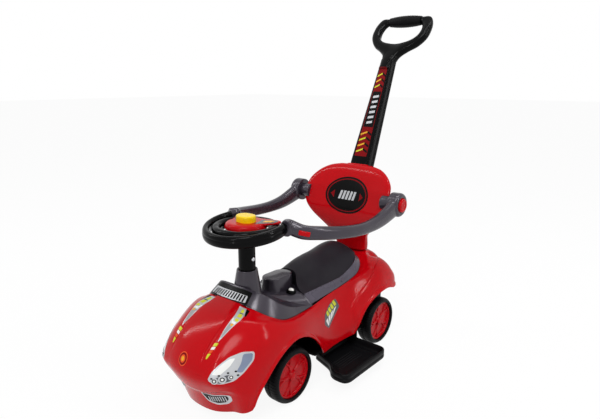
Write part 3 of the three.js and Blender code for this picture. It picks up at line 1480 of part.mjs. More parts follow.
function pushHandle() {
  const tapered = (share) => poleRing(
    lerp(polePrism, poleLength, share),
    lerp(poleFootHalfWidth, poleTopHalfWidth, share),
    lerp(poleFootHalfDepth, poleTopHalfDepth, share),
  );
  const rings = [
    poleRing(gap, poleFootHalfWidth, poleFootHalfDepth), tapered(0), tapered(1 / 2), tapered(1),
  ];
  const barEnd = (x) => at(x, 0, gripBarLift);
  const bar = rod(gripBarRadius, barEnd(-gripBarHalfLength), barEnd(gripBarHalfLength));
  const depth = gripHalfDepth + overrun;
  const [low, high] = [gripBarLift - gripHalfDepth, gripBarLift + depth];
  const band = cut(solid(block(-gripBarHalfLength, gripBarHalfLength, -depth, depth, low, high)), bar);
  const frame = solid(gripFrame()).subtract(band);
  return geometryOf(solid(loft(rings)).add(solid(inGripPlane(geometryOf(frame)))));
}

function gripSleeve() {
  const half = gripBarHalfLength - gap;
  const bore = gripBarRadius + gap;
  const steps = 8;
  const outer = Array.from({ length: steps + 1 }, (_, i) => {
    const share = -1 + (2 * i) / steps;
    return [gripSleeveRadius + gripSleeveSwell * (1 - share * share), share * half];
  });
  const profile = [[bore, -half], ...outer, [bore, half], [bore, -half]];
  const sleeve = turned(profile, "x", smallSides).translate(0, 0, gripBarLift);
  return geometryOf(solid(inGripPlane(sleeve)));
}

// Footrests

function footrestOutline(inset, innerX) {
  const [front, rear] = [footrestFront + inset, footrestFront + footrestLength - inset];
  const outer = footrestOuterX - inset;
  const radius = footrestCorner - inset;
  const points = [[innerX, front]];
  const cornerSteps = 5;
  for (const [centreY, start] of [[front + radius, -Math.PI / 2], [rear - radius, 0]]) {
    for (let k = 0; k <= cornerSteps; k++) {
      const angle = start + (Math.PI / 2) * (k / cornerSteps);
      points.push([outer - radius + radius * Math.cos(angle), centreY + radius * Math.sin(angle)]);
    }
  }
  points.push([innerX, rear]);
  return points;
}

function footrestLeft() {
  const top = footrestBottom + footrestHeight;
  const tray = prism(footrestOutline(0, footrestInnerX), "z", footrestBottom, top);
  const inside = footrestOutline(footrestRim, footrestInnerX + footrestRim);
  const room = prism(inside, "z", footrestBottom + footrestFloor, top + overrun);
  return geometryOf(cut(solid(tray), room));
}

// Assembly

const car = new THREE.Group();

function add(parent, name, geometry, finish, x = 0, y = 0, z = 0) {
  const mesh = new THREE.Mesh(geometry, finish);
  mesh.name = name;
  mesh.position.set(x, y, z);
  parent.add(mesh);
  return mesh;
}

function mirroredGeometry(geometry) {
  const merged = mergedGeometry(geometry);
  const place = merged.attributes.position;
  const kept = Array.from({ length: place.count }, (_, i) => {
    return at(-place.getX(i), place.getY(i), place.getZ(i));
  });
  return closedBody(kept, Array.from(merged.index.array));
}

function addPair(parent, name, geometry, finish, x = 0, y = 0, z = 0) {
  add(parent, name + "_left", geometry, finish, x, y, z);
  add(parent, name + "_right", mirroredGeometry(geometry), finish, -x, y, z);
}

const underbody = new THREE.Group();
car.add(underbody);
add(underbody, "body_shell", bodyShell(), redPlastic);
add(underbody, "chassis_plate", chassis(), blackPlastic);
add(underbody, "storage_tub", storageTub(), blackPlastic);
bodyBosses().forEach(([x, y], i) => add(underbody, "chassis_screw_" + (i + 1), chassisScrew(x, y), steel));

const axles = new THREE.Group();
axles.position.z = wheelRadius;
car.add(axles);
addPair(axles, "kingpin", kingpin(), steel, kingpinX);
add(axles, "knuckle_left", knuckle(1), blackPlastic, kingpinX);
add(axles, "knuckle_right", knuckle(-1), blackPlastic, -kingpinX);
addPair(axles, "stub_axle", stubAxle(), steel, kingpinX);
add(axles, "rear_axle", rearAxle(), steel, 0, wheelbase);
addPair(axles, "rear_bush", rearBush(), blackPlastic, rearInnerWellX - wellWall / 2, wheelbase);
for (const [end, y] of [["front", 0], ["rear", wheelbase]]) {
  addPair(axles, "tyre_" + end, tyre(), blackPlastic, wheelCentreX, y);
  addPair(axles, "wheel_disc_" + end, wheelDisc(), redPlastic, wheelCentreX, y);
  addPair(axles, "axle_nut_" + end, axleNut(), steel, wheelCentreX, y);
}

const column = new THREE.Group();
column.position.y = columnY;
car.add(column);
add(column, "steering_rod", steeringRod(), steel);
add(column, "steering_bush", steeringBush(), blackPlastic);
add(column, "steering_neck", steeringNeck(), blackGloss);
add(column, "neck_screw", neckScrew(), steel);
add(column, "steering_wheel", steeringWheel(), blackGloss);
add(column, "horn_pod", hornPod(), redPlastic);
add(column, "horn_button", hornButton(), yellowPlastic);
add(car, "tie_rod", tieRod(), steel);

const top = new THREE.Group();
car.add(top);
add(top, "dashboard", dashboard(), gunmetalPlastic);
add(top, "ignition_bezel", ignitionBezel(), blackGloss);
add(top, "ignition_knob", ignitionKnob(), paleDome);
add(top, "seat_lid", seatLid(), charcoalPlastic);
add(top, "seat_hinge_pin", seatHingePin(), steel);
add(top, "seat_trim", seatTrim(), silverPlastic);
add(top, "backrest", backrest(), redPlastic);
add(top, "backrest_screw_left", backrestScrew(1), steel);
add(top, "backrest_screw_right", backrestScrew(-1), steel);

const guard = new THREE.Group();
car.add(guard);
add(guard, "guard_hoop", guardHoop(), blackGloss);
addPair(guard, "guard_arm", guardArmLeft(), gunmetalPlastic);
addPair(guard, "guard_latch", latchBlock(0, latchRise, latchDepth), redPlastic);
addPair(guard, "guard_cap", pivotCapLeft(), redPlastic, 0, pivotY, pivotZ);
addPair(guard, "guard_bolt", pivotBoltLeft(), steel, 0, pivotY, pivotZ);

add(car, "push_handle", pushHandle(), blackGloss);
add(car, "grip_sleeve", gripSleeve(), blackPlastic);
addPair(car, "footrest", footrestLeft(), blackPlastic);

// The part's origin is under the middle of its length.
const bounds = new THREE.Box3().setFromObject(car);
car.position.y = -(bounds.min.y + bounds.max.y) / 2;

export default car;
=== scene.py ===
"""A toddler's ride-on push car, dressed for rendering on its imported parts."""
import json
import math

import bmesh
import bpy
import numpy as np
from mathutils import Matrix, Vector
from mathutils.bvhtree import BVHTree
from mathutils.geometry import delaunay_2d_cdt


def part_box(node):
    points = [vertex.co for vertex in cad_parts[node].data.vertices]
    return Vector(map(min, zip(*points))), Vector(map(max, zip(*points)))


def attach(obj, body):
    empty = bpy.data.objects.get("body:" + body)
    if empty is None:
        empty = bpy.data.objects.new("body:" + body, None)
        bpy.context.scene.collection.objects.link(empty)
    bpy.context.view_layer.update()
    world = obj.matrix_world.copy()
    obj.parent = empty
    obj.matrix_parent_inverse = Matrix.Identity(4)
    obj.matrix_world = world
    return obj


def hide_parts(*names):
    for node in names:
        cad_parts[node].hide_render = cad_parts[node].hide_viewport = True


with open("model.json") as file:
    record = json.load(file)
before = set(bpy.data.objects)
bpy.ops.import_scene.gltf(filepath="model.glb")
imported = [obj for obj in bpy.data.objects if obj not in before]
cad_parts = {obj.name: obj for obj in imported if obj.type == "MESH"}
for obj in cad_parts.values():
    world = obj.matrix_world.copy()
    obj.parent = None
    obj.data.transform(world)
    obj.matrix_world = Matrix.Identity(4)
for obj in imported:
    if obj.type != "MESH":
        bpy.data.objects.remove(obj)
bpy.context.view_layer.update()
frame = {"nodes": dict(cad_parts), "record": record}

# Sizes and places are in millimetres, and y is counted from the front axle.
MM = 0.001


def node_middle(node):
    low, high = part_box(node)
    return (np.array(low) + np.array(high)) / (2 * MM)


FRONT_AXLE = node_middle("tyre_front_left")
WHEELBASE = node_middle("tyre_rear_left")[1] - FRONT_AXLE[1]
WHEEL_X = FRONT_AXLE[0]
AXLE_Z = FRONT_AXLE[2]
ORIGIN = np.array([0, FRONT_AXLE[1], 0])
MIRROR = np.array([-1, 1, 1])
SIDES = ((1, "left"), (-1, "right"))

# Body
BODY_HALF_WIDTH = 132
DECK_HEIGHT = 245
BODY_WALL = 3
FRONT_WELL_HALF_LENGTH = 126
FRONT_WELL_TOP = 158
FRONT_WELL_FOOT = 33
REAR_WELL_HALF_LENGTH = 124
REAR_WELL_TOP = 163
REAR_WELL_FOOT = 65
TAIL_LIP_HEIGHT = 152
WELL_POWER = 1.75
TAIL_CUT_SHARES = (0.36, 0.66)
NOTCH_RIB = 10.15
NOTCH_WIDTH = 0.28
NOTCH_DEPTH = 12
NOTCH_START_ROWS = (0.8, 1.6)
NOTCH_END_ROWS = (3.6, 4.4)
FENDER_RISE = 4
FENDER_STEP = 0.18
FENDER_END_RIBS = (9.8, 10.2)
FENDER_START_ROWS = (1.4, 1.8)
FENDER_ROWS = [1.5, 2.2, 2.7, 3.1, 3.92, 4.9, 7]
FENDER_RIBS = [10.2, 9.6, 8.48, 7.32, 6.8, 6.78, 7.0]
NOSE_LIFT = 9
NOSE_CORNER_RIB = 3.1
NOSE_CORNER_WIDTH = 0.9
LIP_RISE = 3
LIP_WIDTH = 12
LIP_EDGE = 3
CHANNEL_DEPTH = 3.2
CHANNEL_WALL = 0.12
CHANNEL_FLOOR = 0.35
CHANNEL_FADE = (2.2, 3.2)
COLUMN_COUNTS = (24, 14, 60, 120)
ROW_COUNT = 80
TRIM_STEPS = 140
TRIM_HALVINGS = 12
NUDGE = 0.02

# Each row of the net runs down one rib of the body, from the edge that the dashboard, the seat or the deck
# meets to the lower edge: shares of the half width, wheelbase and deck height.
RIB_SHARES = [
    [[0, -0.211, 0.992], [0, -0.338, 0.922], [0, -0.465, 0.8], [0, -0.551, 0.665],
     [0, -0.584, 0.522], [0, -0.546, 0.367], [0, -0.514, 0.302], [0, -0.465, 0.11]],
    [[0.341, -0.205, 0.984], [0.348, -0.33, 0.918], [0.356, -0.451, 0.796], [0.364, -0.535, 0.657],
     [0.371, -0.568, 0.518], [0.356, -0.53, 0.376], [0.341, -0.497, 0.31], [0.318, -0.449, 0.11]],
    [[0.576, -0.181, 0.951], [0.614, -0.292, 0.902], [0.659, -0.4, 0.784], [0.697, -0.481, 0.645],
     [0.712, -0.519, 0.518], [0.682, -0.492, 0.42], [0.652, -0.457, 0.343], [0.583, -0.397, 0.114]],
    [[0.735, -0.122, 0.89], [0.818, -0.184, 0.882], [0.894, -0.243, 0.804], [0.947, -0.297, 0.686],
     [0.977, -0.33, 0.551], [0.97, -0.346, 0.424], [0.955, -0.349, 0.294], [0.909, -0.343, 0.135]],
    [[0.795, 0, 0.812], [0.856, 0, 0.816], [0.917, 0, 0.792], [0.962, 0, 0.743],
     [0.992, 0, 0.661], [1, 0, 0.531], [0.992, 0, 0.388], [0.97, 0, 0.245]],
    [[0.712, 0.257, 0.78], [0.75, 0.276, 0.763], [0.788, 0.295, 0.722], [0.818, 0.311, 0.657],
     [0.841, 0.322, 0.571], [0.864, 0.327, 0.465], [0.886, 0.33, 0.367], [0.894, 0.332, 0.282]],
    [[0.659, 0.486, 0.804], [0.689, 0.489, 0.771], [0.72, 0.492, 0.714], [0.75, 0.495, 0.645],
     [0.78, 0.497, 0.567], [0.818, 0.5, 0.469], [0.856, 0.503, 0.376], [0.879, 0.503, 0.294]],
    [[0.659, 0.662, 0.829], [0.697, 0.668, 0.8], [0.742, 0.676, 0.751], [0.803, 0.684, 0.686],
     [0.864, 0.689, 0.6], [0.917, 0.692, 0.498], [0.947, 0.692, 0.4], [0.939, 0.692, 0.302]],
    [[0.636, 0.811, 0.865], [0.705, 0.832, 0.873], [0.788, 0.851, 0.853], [0.871, 0.865, 0.804],
     [0.939, 0.876, 0.722], [0.977, 0.881, 0.604], [0.985, 0.886, 0.449], [0.97, 0.886, 0.294]],
    [[0.53, 0.914, 0.918], [0.621, 0.946, 0.947], [0.742, 0.973, 0.943], [0.848, 0.995, 0.902],
     [0.932, 1.008, 0.829], [0.985, 1.019, 0.702], [0.992, 1.022, 0.49], [0.977, 1.022, 0.294]],
    [[0.379, 0.978, 0.955], [0.485, 1.049, 0.992], [0.621, 1.114, 0.963], [0.758, 1.162, 0.886],
     [0.856, 1.192, 0.776], [0.886, 1.205, 0.645], [0.848, 1.195, 0.482], [0.788, 1.178, 0.31]],
    [[0.189, 1.011, 0.971], [0.242, 1.108, 1.008], [0.288, 1.184, 0.971], [0.318, 1.224, 0.878],
     [0.341, 1.246, 0.767], [0.348, 1.251, 0.645], [0.333, 1.232, 0.482], [0.318, 1.216, 0.31]],
    [[0, 1.019, 0.971], [0, 1.119, 1.012], [0, 1.195, 0.976], [0, 1.235, 0.878],
     [0, 1.257, 0.767], [0, 1.262, 0.645], [0, 1.243, 0.482], [0, 1.227, 0.31]],
]
LEDGE_SHARES = [
    [0, -0.178, 0.955], [0.333, -0.173, 0.947], [0.53, -0.151, 0.914], [0.667, -0.103, 0.845],
    [0.705, 0, 0.767], [0.629, 0.257, 0.735], [0.576, 0.486, 0.759], [0.576, 0.662, 0.784],
    [0.553, 0.8, 0.82], [0.455, 0.886, 0.873], [0.326, 0.946, 0.91], [0.159, 0.976, 0.927],
    [0, 0.984, 0.927],
]
LAST_RIB = len(RIB_SHARES) - 1
LAST_ROW = len(RIB_SHARES[0]) - 1
NOSE_LIFT_ROWS = (LAST_ROW - 2, LAST_ROW - 0.6)
SIDE_RIB = 4
# Inner and outer edge of the hood's two channels, in ribs, from the windscreen down to their tips.
CHANNEL_INNER_RIBS = [0.84, 0.9, 0.93, 0.95, 0.95, 0.9, 0.86, 0.84]
CHANNEL_OUTER_RIBS = [1.66, 1.52, 1.36, 1.12, 1.1, 1.1, 1.1, 1.1]

# Wheels
WHEEL_RADIUS = 65
WHEEL_HALF_WIDTH = 22
SHOULDER_RADIUS = 59.5
TREAD_HALF_WIDTH = 14
RIM_RADIUS = 47
DISC_RADIUS = 53
DISC_SEAT = 8
HUB_RADIUS = 12
WEB_HALF = 2
AXLE_BORE = 5.4
TREAD_DEPTH = 1.8
TREAD_BLOCKS = 54
TREAD_SLANT = 0.0022
# Share of a block's way round, and whether the groove is sunk there.
TREAD_STEPS = ((0, 0), (0.05, 1), (0.17, 1), (0.22, 0), (0.6, 0))
DISC_SIDES = 240
DISC_FACE = 15.3
DISC_SUNK = 10.5
RIM_RING = 48.5
SPOKE_COUNT = 5
SPOKE_HALF_WIDTH = 3.6
FORK_RADIUS = 26
FORK_SPREAD = 0.45
HUB_DOME = 13
HUB_RISE = 3.4
HUB_EDGE = 2.5
HUB_GROOVE_RADIUS = HUB_DOME * 0.55
HUB_GROOVE_WIDTH = 1.1
HUB_GROOVE_DEPTH = 1.1
FORK_SHARE = 0.62
SPOKE_EDGE = (-0.8, 1.2)
SPOKE_DROP = 1.2
RIM_RING_EDGE = 1.6

# Steering
COLUMN_Y = -18
NECK_RADIUS = 19.5
SCREW_BORE = 5.3
# Profiles turned about an axis hold radius, distance and the easing of the corner.
SCREW_PROFILE = [(0, -9, 0), (2.6, -9, 0.2), (2.6, -1.6, 0.2), (5, -1.6, 0.3), (5, -0.4, 0.8),
                 (3.6, 0.4, 0.6), (0, 0.6, 0)]
NECK_FOOT = 272
HUB_FLOOR = 383
RIM_HEIGHT = 394
RIM_TORUS_RADIUS = 67
RIM_HALF_WIDTH = 9.5
RIM_HALF_HEIGHT = 11
POD_RADIUS = 48
POD_TOP = 411
POD_FLOOR = 391.3
WING_TIP = (52, 42)
WING_TIP_RADIUS = 13
WING_ROOT_RADIUS = 38
BUTTON_HALF_LENGTH = 24
BUTTON_HALF_WIDTH = 19
BUTTON_TOP = 425
BUTTON_FOOT = 408

# Guard
HOOP_RADIUS = 90
HOOP_CENTRE = (0, -18, 397)
HOOP_TILT = 0.12
HOOP_SPAN = 1.95
HOOP_HALF_WIDTH = 8
HOOP_HALF_HEIGHT = 13.5
HOOP_GROOVE_LIFT = 2.5
HOOP_GROOVE_WIDTH = 1.3
HOOP_GROOVE_DEPTH = 1.1
ARM_STUB = 13
PIVOT = (163, 365, 404)
ARM_BOSS_RADIUS = 31
ARM_BOSS_INNER_X = 148
ARM_BOSS_OUTER_X = 178
CAP_RADIUS = 18
LATCH_BEVEL = 1.8
ARM_WAY_SHARES = [
    [0.7, 0.12, 0.972], [0.83, 0.21, 0.958], [0.93, 0.35, 0.94],
    [0.99, 0.52, 0.925], [1.0, 0.66, 0.925], [1.0, 0.78, 0.938], [1.0, 0.9, 0.968], [1.0, 1.0, 1.0],
]
ARM_WIDTH_SHARES = [1.6, 1.45, 1.4, 1.4, 1.4, 1.4, 1.5, 1.55, 1.5]
ARM_HEIGHT_SHARES = [1.42, 1.3, 1.2, 1.15, 1.1, 1.12, 1.3, 1.6, 1.85]
COLLAR_SHARES = (0.012, 0.03, 0.048)
COLLAR_WIDTH = 0.004
# From and to where the arm is cut away, back along the hoop from its end.
HOOP_CUT = (60, 0.2)
COLLAR_RISE = 0.03
BEAD_LIFT = 0.5
BEAD_WIDTH = 0.16
BEAD_RISE = 0.05

# Dashboard
CONE_FOOT_RADIUS = 33
CONE_TOP_RADIUS = 24
CONE_TOP = 299
CONE_FOOT = 244
CONE_BORE = NECK_RADIUS + 0.8
CONE_BORE_DEPTH = 12
DECK_SLOPE = 0.236
DECK_DROP = 2
DECK_EDGE = 3
TROUGH_DROP = 16
TROUGH_RIBS = (2, 4.4)
TROUGH_SHARE = 0.26
# Sections along which the black strip of painted shade lines the trough.
SHADE_STRIP_SECTIONS = 65
DECK_SHARE = 0.6
DASH_EASES = [0, 0.6, 1.6, 1.2, 1.5, 8, 20, 5, 1.6, 0.8, 0]
SEAM_Y = 100
SEAM_BULGE = 26
SEAM_BULGE_HALF_WIDTH = 38
SEAM_HEIGHT = 222
SEAM_DEPTH = 12
SEAM_GAP = 0.4
DASH_WALL = 2
SEAM_SECTIONS = 36
POMMEL_FRONT_Y = 66
POMMEL_REAR_Y = 99
POMMEL_FOOT_RADIUS = 28
POMMEL_TOP_RADIUS = 25
POMMEL_FOOT = 205
POMMEL_TOP = 256
KNOB_PLACE = (42, 86, 221.6)
KNOB_RING = [(7.7, -6, 0), (12, -6, 0.5), (12, 1.5, 1.2), (10.4, 3, 0.8), (8.6, 3, 0.8),
             (7.7, 1.6, 0.5)]
KNOB_DOME = [(0, -3.5, 0), (6.9, -3.5, 0.5), (7, 3.2, 2.5), (5, 7, 3), (0, 8.1, 0)]
BAND_END_RIB = 4.5
BAND_TOP_SHARES = [
    [0, -0.138, 1.094], [0.341, -0.127, 1.086], [0.508, -0.105, 1.061], [0.636, -0.068, 1.016],
    [0.727, 0.005, 0.931], [0.7, 0.2, 0.8],
]

# Seat
LID_HALF_WIDTH = 71
LID_REAR_START = 285
LID_REAR_DEPTH = 77
SEAT_POWER = 2.2
LID_EDGE_FRONT = 216
LID_EDGE_RISE = 30
LID_EDGE_RISE_SPAN = (230, 360)
LID_CROWN = 58
LID_BELL_HALF_WIDTH = 48
LID_BELL_SHARE = 0.3
LID_THICKNESS = 4
LID_GAP = 0.3
LID_BEVEL = 1.4
TRIM_HALF_WIDTH = 86
TRIM_REAR_DEPTH = 91
TRIM_OUTER_RISE = 3
# Share of the way from the lid to the body, rise over the straight line and easing.
TRIM_SECTION = [(0, -4, 0), (0, 2.2, 1.2), (0.16, 2.6, 1.6), (0.3, 0.2, 2.5),
                (0.86, 0.8, 2.5), (1, 0, 1), (1, -2.2, 0.6), (0.5, -3, 0)]
CROWN_SHARES = [0.72, 0.86, 0.96, 1.03, 1.06, 1.02, 0.89, 0.64, 0]
SKIRT_FOOT = 212

# Backrest
BACKREST_HALF_WIDTH = 139
BACKREST_TOP = 486
PLUG_FOOT = 205
BACKREST_POWER = 0.7
BOSS_RADIUS = 19
BOSS_LENGTH = 28
# The housing for the push handle's pole behind the panel, and the socket cut into it.
HOUSING_WALL = 4.5
HOUSING_SPAN = (-4, 95)
SOCKET_GAP = 0.5
SOCKET_SPAN = (20, 140)
BACKREST_SHARES = [
    [0.154, 0.35, 1.092, 0.14, 0],
    [0.2, 0.36, 1.09, 0.15, 0],
    [0.262, 0.385, 1.078, 0.14, 0.01],
    [0.315, 0.43, 1.062, 0.13, 0.03],
    [0.36, 0.51, 1.048, 0.12, 0.05],
    [0.42, 0.61, 1.03, 0.115, 0.08],
    [0.497, 0.77, 1.018, 0.11, 0.12],
    [0.577, 0.9, 1.02, 0.11, 0.16],
    [0.647, 0.975, 1.032, 0.11, 0.17],
    [0.706, 1, 1.045, 0.11, 0.17],
    [0.785, 0.985, 1.062, 0.11, 0.15],
    [0.845, 0.95, 1.08, 0.105, 0.12],
    [0.9, 0.86, 1.098, 0.1, 0.09],
    [0.945, 0.74, 1.113, 0.09, 0.06],
    [0.98, 0.58, 1.127, 0.07, 0.03],
    [1, 0.36, 1.137, 0.04, 0.01],
]

# Push handle
POLE_FOOT = (0, 406, 392)
POLE_LEAN = 0.412
POLE_LENGTH = 412
POLE_FOOT_HALF = (30, 20)
POLE_TOP_HALF = (19.5, 16)
POLE_PRISM = 110
GRIP_LEAN = 0.66
GRIP_BAR_LIFT = 147
GRIP_BAR_HALF_LENGTH = 52
GRIP_HALF_DEPTH = 13
GRIP_BAR_HALF_DEPTH = 10
GRIP_SLIM_SPAN = (90, 135)
SLEEVE_RADIUS = 12.8
SLEEVE_SWELL = 4
SLEEVE_BORE = 9.3
SLEEVE_RIDGE = 0.35
SLEEVE_RIDGES = 14
SLEEVE_RIDGED_SHARE = 0.82
# Places across and along the grip: on the edge of its hole, and beside that on its outer edge.
GRIP_PAIRS = [
    (0, 62, 0, -26), (8, 62.5, 15, -22), (22, 64, 25, 14), (39, 68, 45, 36), (53, 76, 71, 55),
    (63, 89, 89, 82), (66, 107, 94, 110), (63, 122, 91, 137), (58, 132, 79, 157),
    (53, 138, 58, 157), (48, 138.5, 48, 155.5),
]
# Height along the grip, half width and half depth of the throat that joins it to the pole.
THROAT = ((-34, 19, 15.5), (-14, 19, 15.5), (4, 21, 15), (22, 28, 13.5), (36, 24, 12), (46, 12, 9))

# Footrests
FOOTREST_OUTER_X = 206
FOOTREST_INNER_X = 77
FOOTREST_FRONT = 92
FOOTREST_LENGTH = 180
FOOTREST_BOTTOM = 29
FOOTREST_HEIGHT = 22
FOOTREST_CORNER = 24
RIDGE_COUNT = 5
RIDGE_SIDE_GAP = 50
RIDGE_END_GAP = 45
RAIL_CUT_X = (60, 122)
RAIL_CUT_Y = (60, 114)
RAIL_CUT_Z = (5, 73)

# Finishes and prints
# Scale and detail of the noise behind a finish's mottle and its uneven gloss.
MOTTLE_NOISE = (9, 3)
GLOSS_NOISE = (14, 4)
WHITE = (1, 1, 1, 1)
STICKER_REACH = 60
STICKER_THICKNESS = 0.2

# Camera and light, in metres, from the fit of the photograph's view
CAMERA_FROM_AXLE = (0.8227, -0.8123, 0.7154)
CAMERA_TARGET_FROM_AXLE = (0.0, 0.16972, 0.40222)
LENS = 31.635
SENSOR = 36
WORLD_LIGHT = 0.3
FLOOR_SIZE = 40
FLOOR_WHITE = 0.92
SUN_FROM = (0.35, -0.6, 1.0)
SUN_STRENGTH = 1.3
SUN_SPREAD = 0.4
# Name, place, size and power of each lamp.
LAMPS = [
    ("side", (2.4, 0.7, 1.7), (0.09, 2.2), 18),
    ("top", (0.5, 0.4, 2.8), (0.09, 2.4), 18),
    ("front", (0.4, -2.7, 1.6), (0.08, 1.8), 12),
    ("far", (-2.0, -1.0, 2.2), (0.12, 2.0), 12),
]
LAMP_AIM = (0, 0, 0.35)


# Number helpers


def spline(values, where):
    """A smooth curve through rows of values, at fractional places."""
    values = np.asarray(values, float)
    where = np.asarray(where, float)
    base = np.clip(np.floor(where).astype(int), 0, len(values) - 2)
    t = (where - base).reshape(where.shape + (1,) * (values.ndim - 1))
    a, b, c, d = (values[np.clip(base + k, 0, len(values) - 1)] for k in (-1, 0, 1, 2))
    return b + t / 2 * (c - a + t * (2 * a - 5 * b + 4 * c - d + t * (3 * (b - c) + d - a)))


def by_share(values, share):
    return spline(values, np.clip(share, 0, 1) * (len(values) - 1))


def soft_path(points, count):
    """Places along a centripetal curve through points."""
    points = np.asarray(points, float)
    ends = (2 * points[0] - points[1], 2 * points[-1] - points[-2])
    padded = np.vstack([ends[0], points, ends[1]])
    path = []
    for place in np.linspace(0, len(points) - 1, count):
        i = min(int(place), len(points) - 2)
        t = place - i
        a, b, c, d = padded[i:i + 4]
        before, span, after = (math.sqrt(np.linalg.norm(q - p)) for p, q in ((a, b), (b, c), (c, d)))
        start = ((b - a) / before - (c - a) / (before + span) + (c - b) / span) * span
        end = ((c - b) / span - (d - b) / (span + after) + (d - c) / after) * span
        path.append(b + t * (start + t * (3 * (c - b) - 2 * start - end + t * (2 * (b - c) + start + end))))
    return np.array(path)


def smooth(value, low, high):
    share = np.clip((value - low) / (high - low), 0, 1)
    return share * share * (3 - 2 * share)


def lerp(a, b, share):
    return a + (b - a) * share


def unit(v):
    v = np.asarray(v, float)
    return v / np.maximum(np.linalg.norm(v, axis=-1, keepdims=True), 1e-9)


def turns_of(count, start=0.0):
    return (np.arange(count) + start) * 2 * math.pi / count


# Mesh helpers. Points come in millimetres from the front axle and go into metres.


def metres(points):
    return (np.asarray(points, float) + ORIGIN) * MM


def placed(name, data):
    """A new object of the scene that holds some data."""
    holder = bpy.data.objects.new(name, data)
    bpy.context.scene.collection.objects.link(holder)
    return holder


def mesh_object(name, points, faces, sharp=40):
    mesh = bpy.data.meshes.new(name)
    mesh.from_pydata(metres(points).tolist(), [], [tuple(int(i) for i in face) for face in faces])
    tidy = bmesh.new()
    tidy.from_mesh(mesh)
    bmesh.ops.remove_doubles(tidy, verts=tidy.verts, dist=2e-6)
    bmesh.ops.recalc_face_normals(tidy, faces=tidy.faces)
    tidy.to_mesh(mesh)
    tidy.free()
    piece = placed(name, mesh)
    shade(piece, sharp)
    return piece


def shade(piece, sharp=40):
    piece.data.shade_smooth()
    piece.data.set_sharp_from_angle(angle=math.radians(sharp))


def grid_faces(rows, columns, loop_rows=False, loop_columns=False, first=0):
    faces = []
    for i in range(rows if loop_rows else rows - 1):
        for j in range(columns if loop_columns else columns - 1):
            a, b = first + i * columns, first + (i + 1) % rows * columns
            k = (j + 1) % columns
            faces.append((a + j, b + j, b + k, a + k))
    return faces


def loft(name, rings, looped=False, sharp=40):
    """A closed body through rings of equal counts."""
    rings = np.asarray(rings, float)
    rows, columns = rings.shape[:2]
    points = list(rings.reshape(-1, 3))
    faces = grid_faces(rows, columns, looped, True)
    if not looped:
        for start in (0, (rows - 1) * columns):
            points.append(np.mean(rings.reshape(-1, 3)[start:start + columns], axis=0))
            hub = len(points) - 1
            faces += [(start + j, start + (j + 1) % columns, hub) for j in range(columns)]
    return mesh_object(name, points, faces, sharp)


def block(low, high):
    """A plain block to cut with, between two opposite corners."""
    (x0, y0, z0), (x1, y1, z1) = low, high
    return loft("cutter", [[(x, y0, z0), (x, y1, z0), (x, y1, z1), (x, y0, z1)] for x in (x0, x1)])


def change(piece, *steps):
    """Adds modifiers given as (type, settings) and applies them."""
    for kind, settings in steps:
        modifier = piece.modifiers.new(kind.lower(), kind)
        for key, value in settings.items():
            setattr(modifier, key, value)
    graph = bpy.context.evaluated_depsgraph_get()
    mesh = bpy.data.meshes.new_from_object(piece.evaluated_get(graph))
    piece.modifiers.clear()
    piece.data = mesh
    return piece


def cut_away(piece, cutter):
    modifier = piece.modifiers.new("cut", "BOOLEAN")
    modifier.object = cutter
    modifier.operation = "DIFFERENCE"
    modifier.solver = "EXACT"
    change(piece)
    bpy.data.objects.remove(cutter)


def weld_mesh(piece):
    merged = bmesh.new()
    merged.from_mesh(piece.data)
    bmesh.ops.remove_doubles(merged, verts=merged.verts, dist=1e-5)
    bmesh.ops.dissolve_limit(merged, angle_limit=math.radians(2), verts=merged.verts, edges=merged.edges)
    merged.to_mesh(piece.data)
    merged.free()


def fuse(name, pieces, voxel=1.4, passes=6, sharp=60):
    """One smooth skin round some closed pieces."""
    whole = join(name, pieces)
    change(
        whole,
        ("REMESH", {"mode": "VOXEL", "voxel_size": voxel * MM}),
        ("CORRECTIVE_SMOOTH", {"iterations": passes, "use_only_smooth": True}),
    )
    shade(whole, sharp)
    return whole


def join(name, pieces):
    merged = bmesh.new()
    for piece in pieces:
        merged.from_mesh(piece.data)
        bpy.data.objects.remove(piece)
    mesh = bpy.data.meshes.new(name)
    merged.to_mesh(mesh)
    merged.free()
    return placed(name, mesh)


def rounded(corners, radii, steps=4, closed=False):
    """A polyline whose corners are eased by curves of about the given radii."""
    corners = np.asarray(corners, float)
    count = len(corners)
    path = []
    for i, corner in enumerate(corners):
        radius = radii[i] if np.ndim(radii) else radii
        if (not closed and i in (0, count - 1)) or radius <= 0:
            path.append(corner)
            continue
        legs = []
        for other in (corners[i - 1], corners[(i + 1) % count]):
            away = other - corner
            length = np.linalg.norm(away)
            legs.append(corner + away / max(length, 1e-9) * min(radius, length * 0.45))
        for k in range(steps + 1):
            t = k / steps
            path.append((1 - t) ** 2 * legs[0] + 2 * t * (1 - t) * corner + t * t * legs[1])
    return np.array(path)


def eased(rows, steps=4, closed=False):
    """A polyline from rows that hold a place and how far its corner is eased."""
    rows = np.asarray(rows, float)
    return rounded(rows[:, :-1], rows[:, -1], steps, closed)


def at_height(outline, height):
    """A flat outline as places at one height."""
    return np.column_stack([outline, np.full(len(outline), height)])


def lathe(name, profile, axis, centre, steps=96, closed=True, sharp=40):
    """A profile of (radius, distance) turned about an axis through a centre."""
    along = unit(axis)
    side = unit(np.cross(along, (0, 0, 1) if abs(along[2]) < 0.9 else (0, 1, 0)))
    up = np.cross(along, side)
    radius, distance = np.asarray(profile, float).T
    turns = np.arange(steps) * 2 * math.pi / steps
    around = np.cos(turns)[:, None] * side + np.sin(turns)[:, None] * up
    points = np.asarray(centre) + distance[None, :, None] * along + radius[None, :, None] * around[:, None]
    faces = grid_faces(steps, len(radius), True, closed)
    return mesh_object(name, points.reshape(-1, 3), faces, sharp)


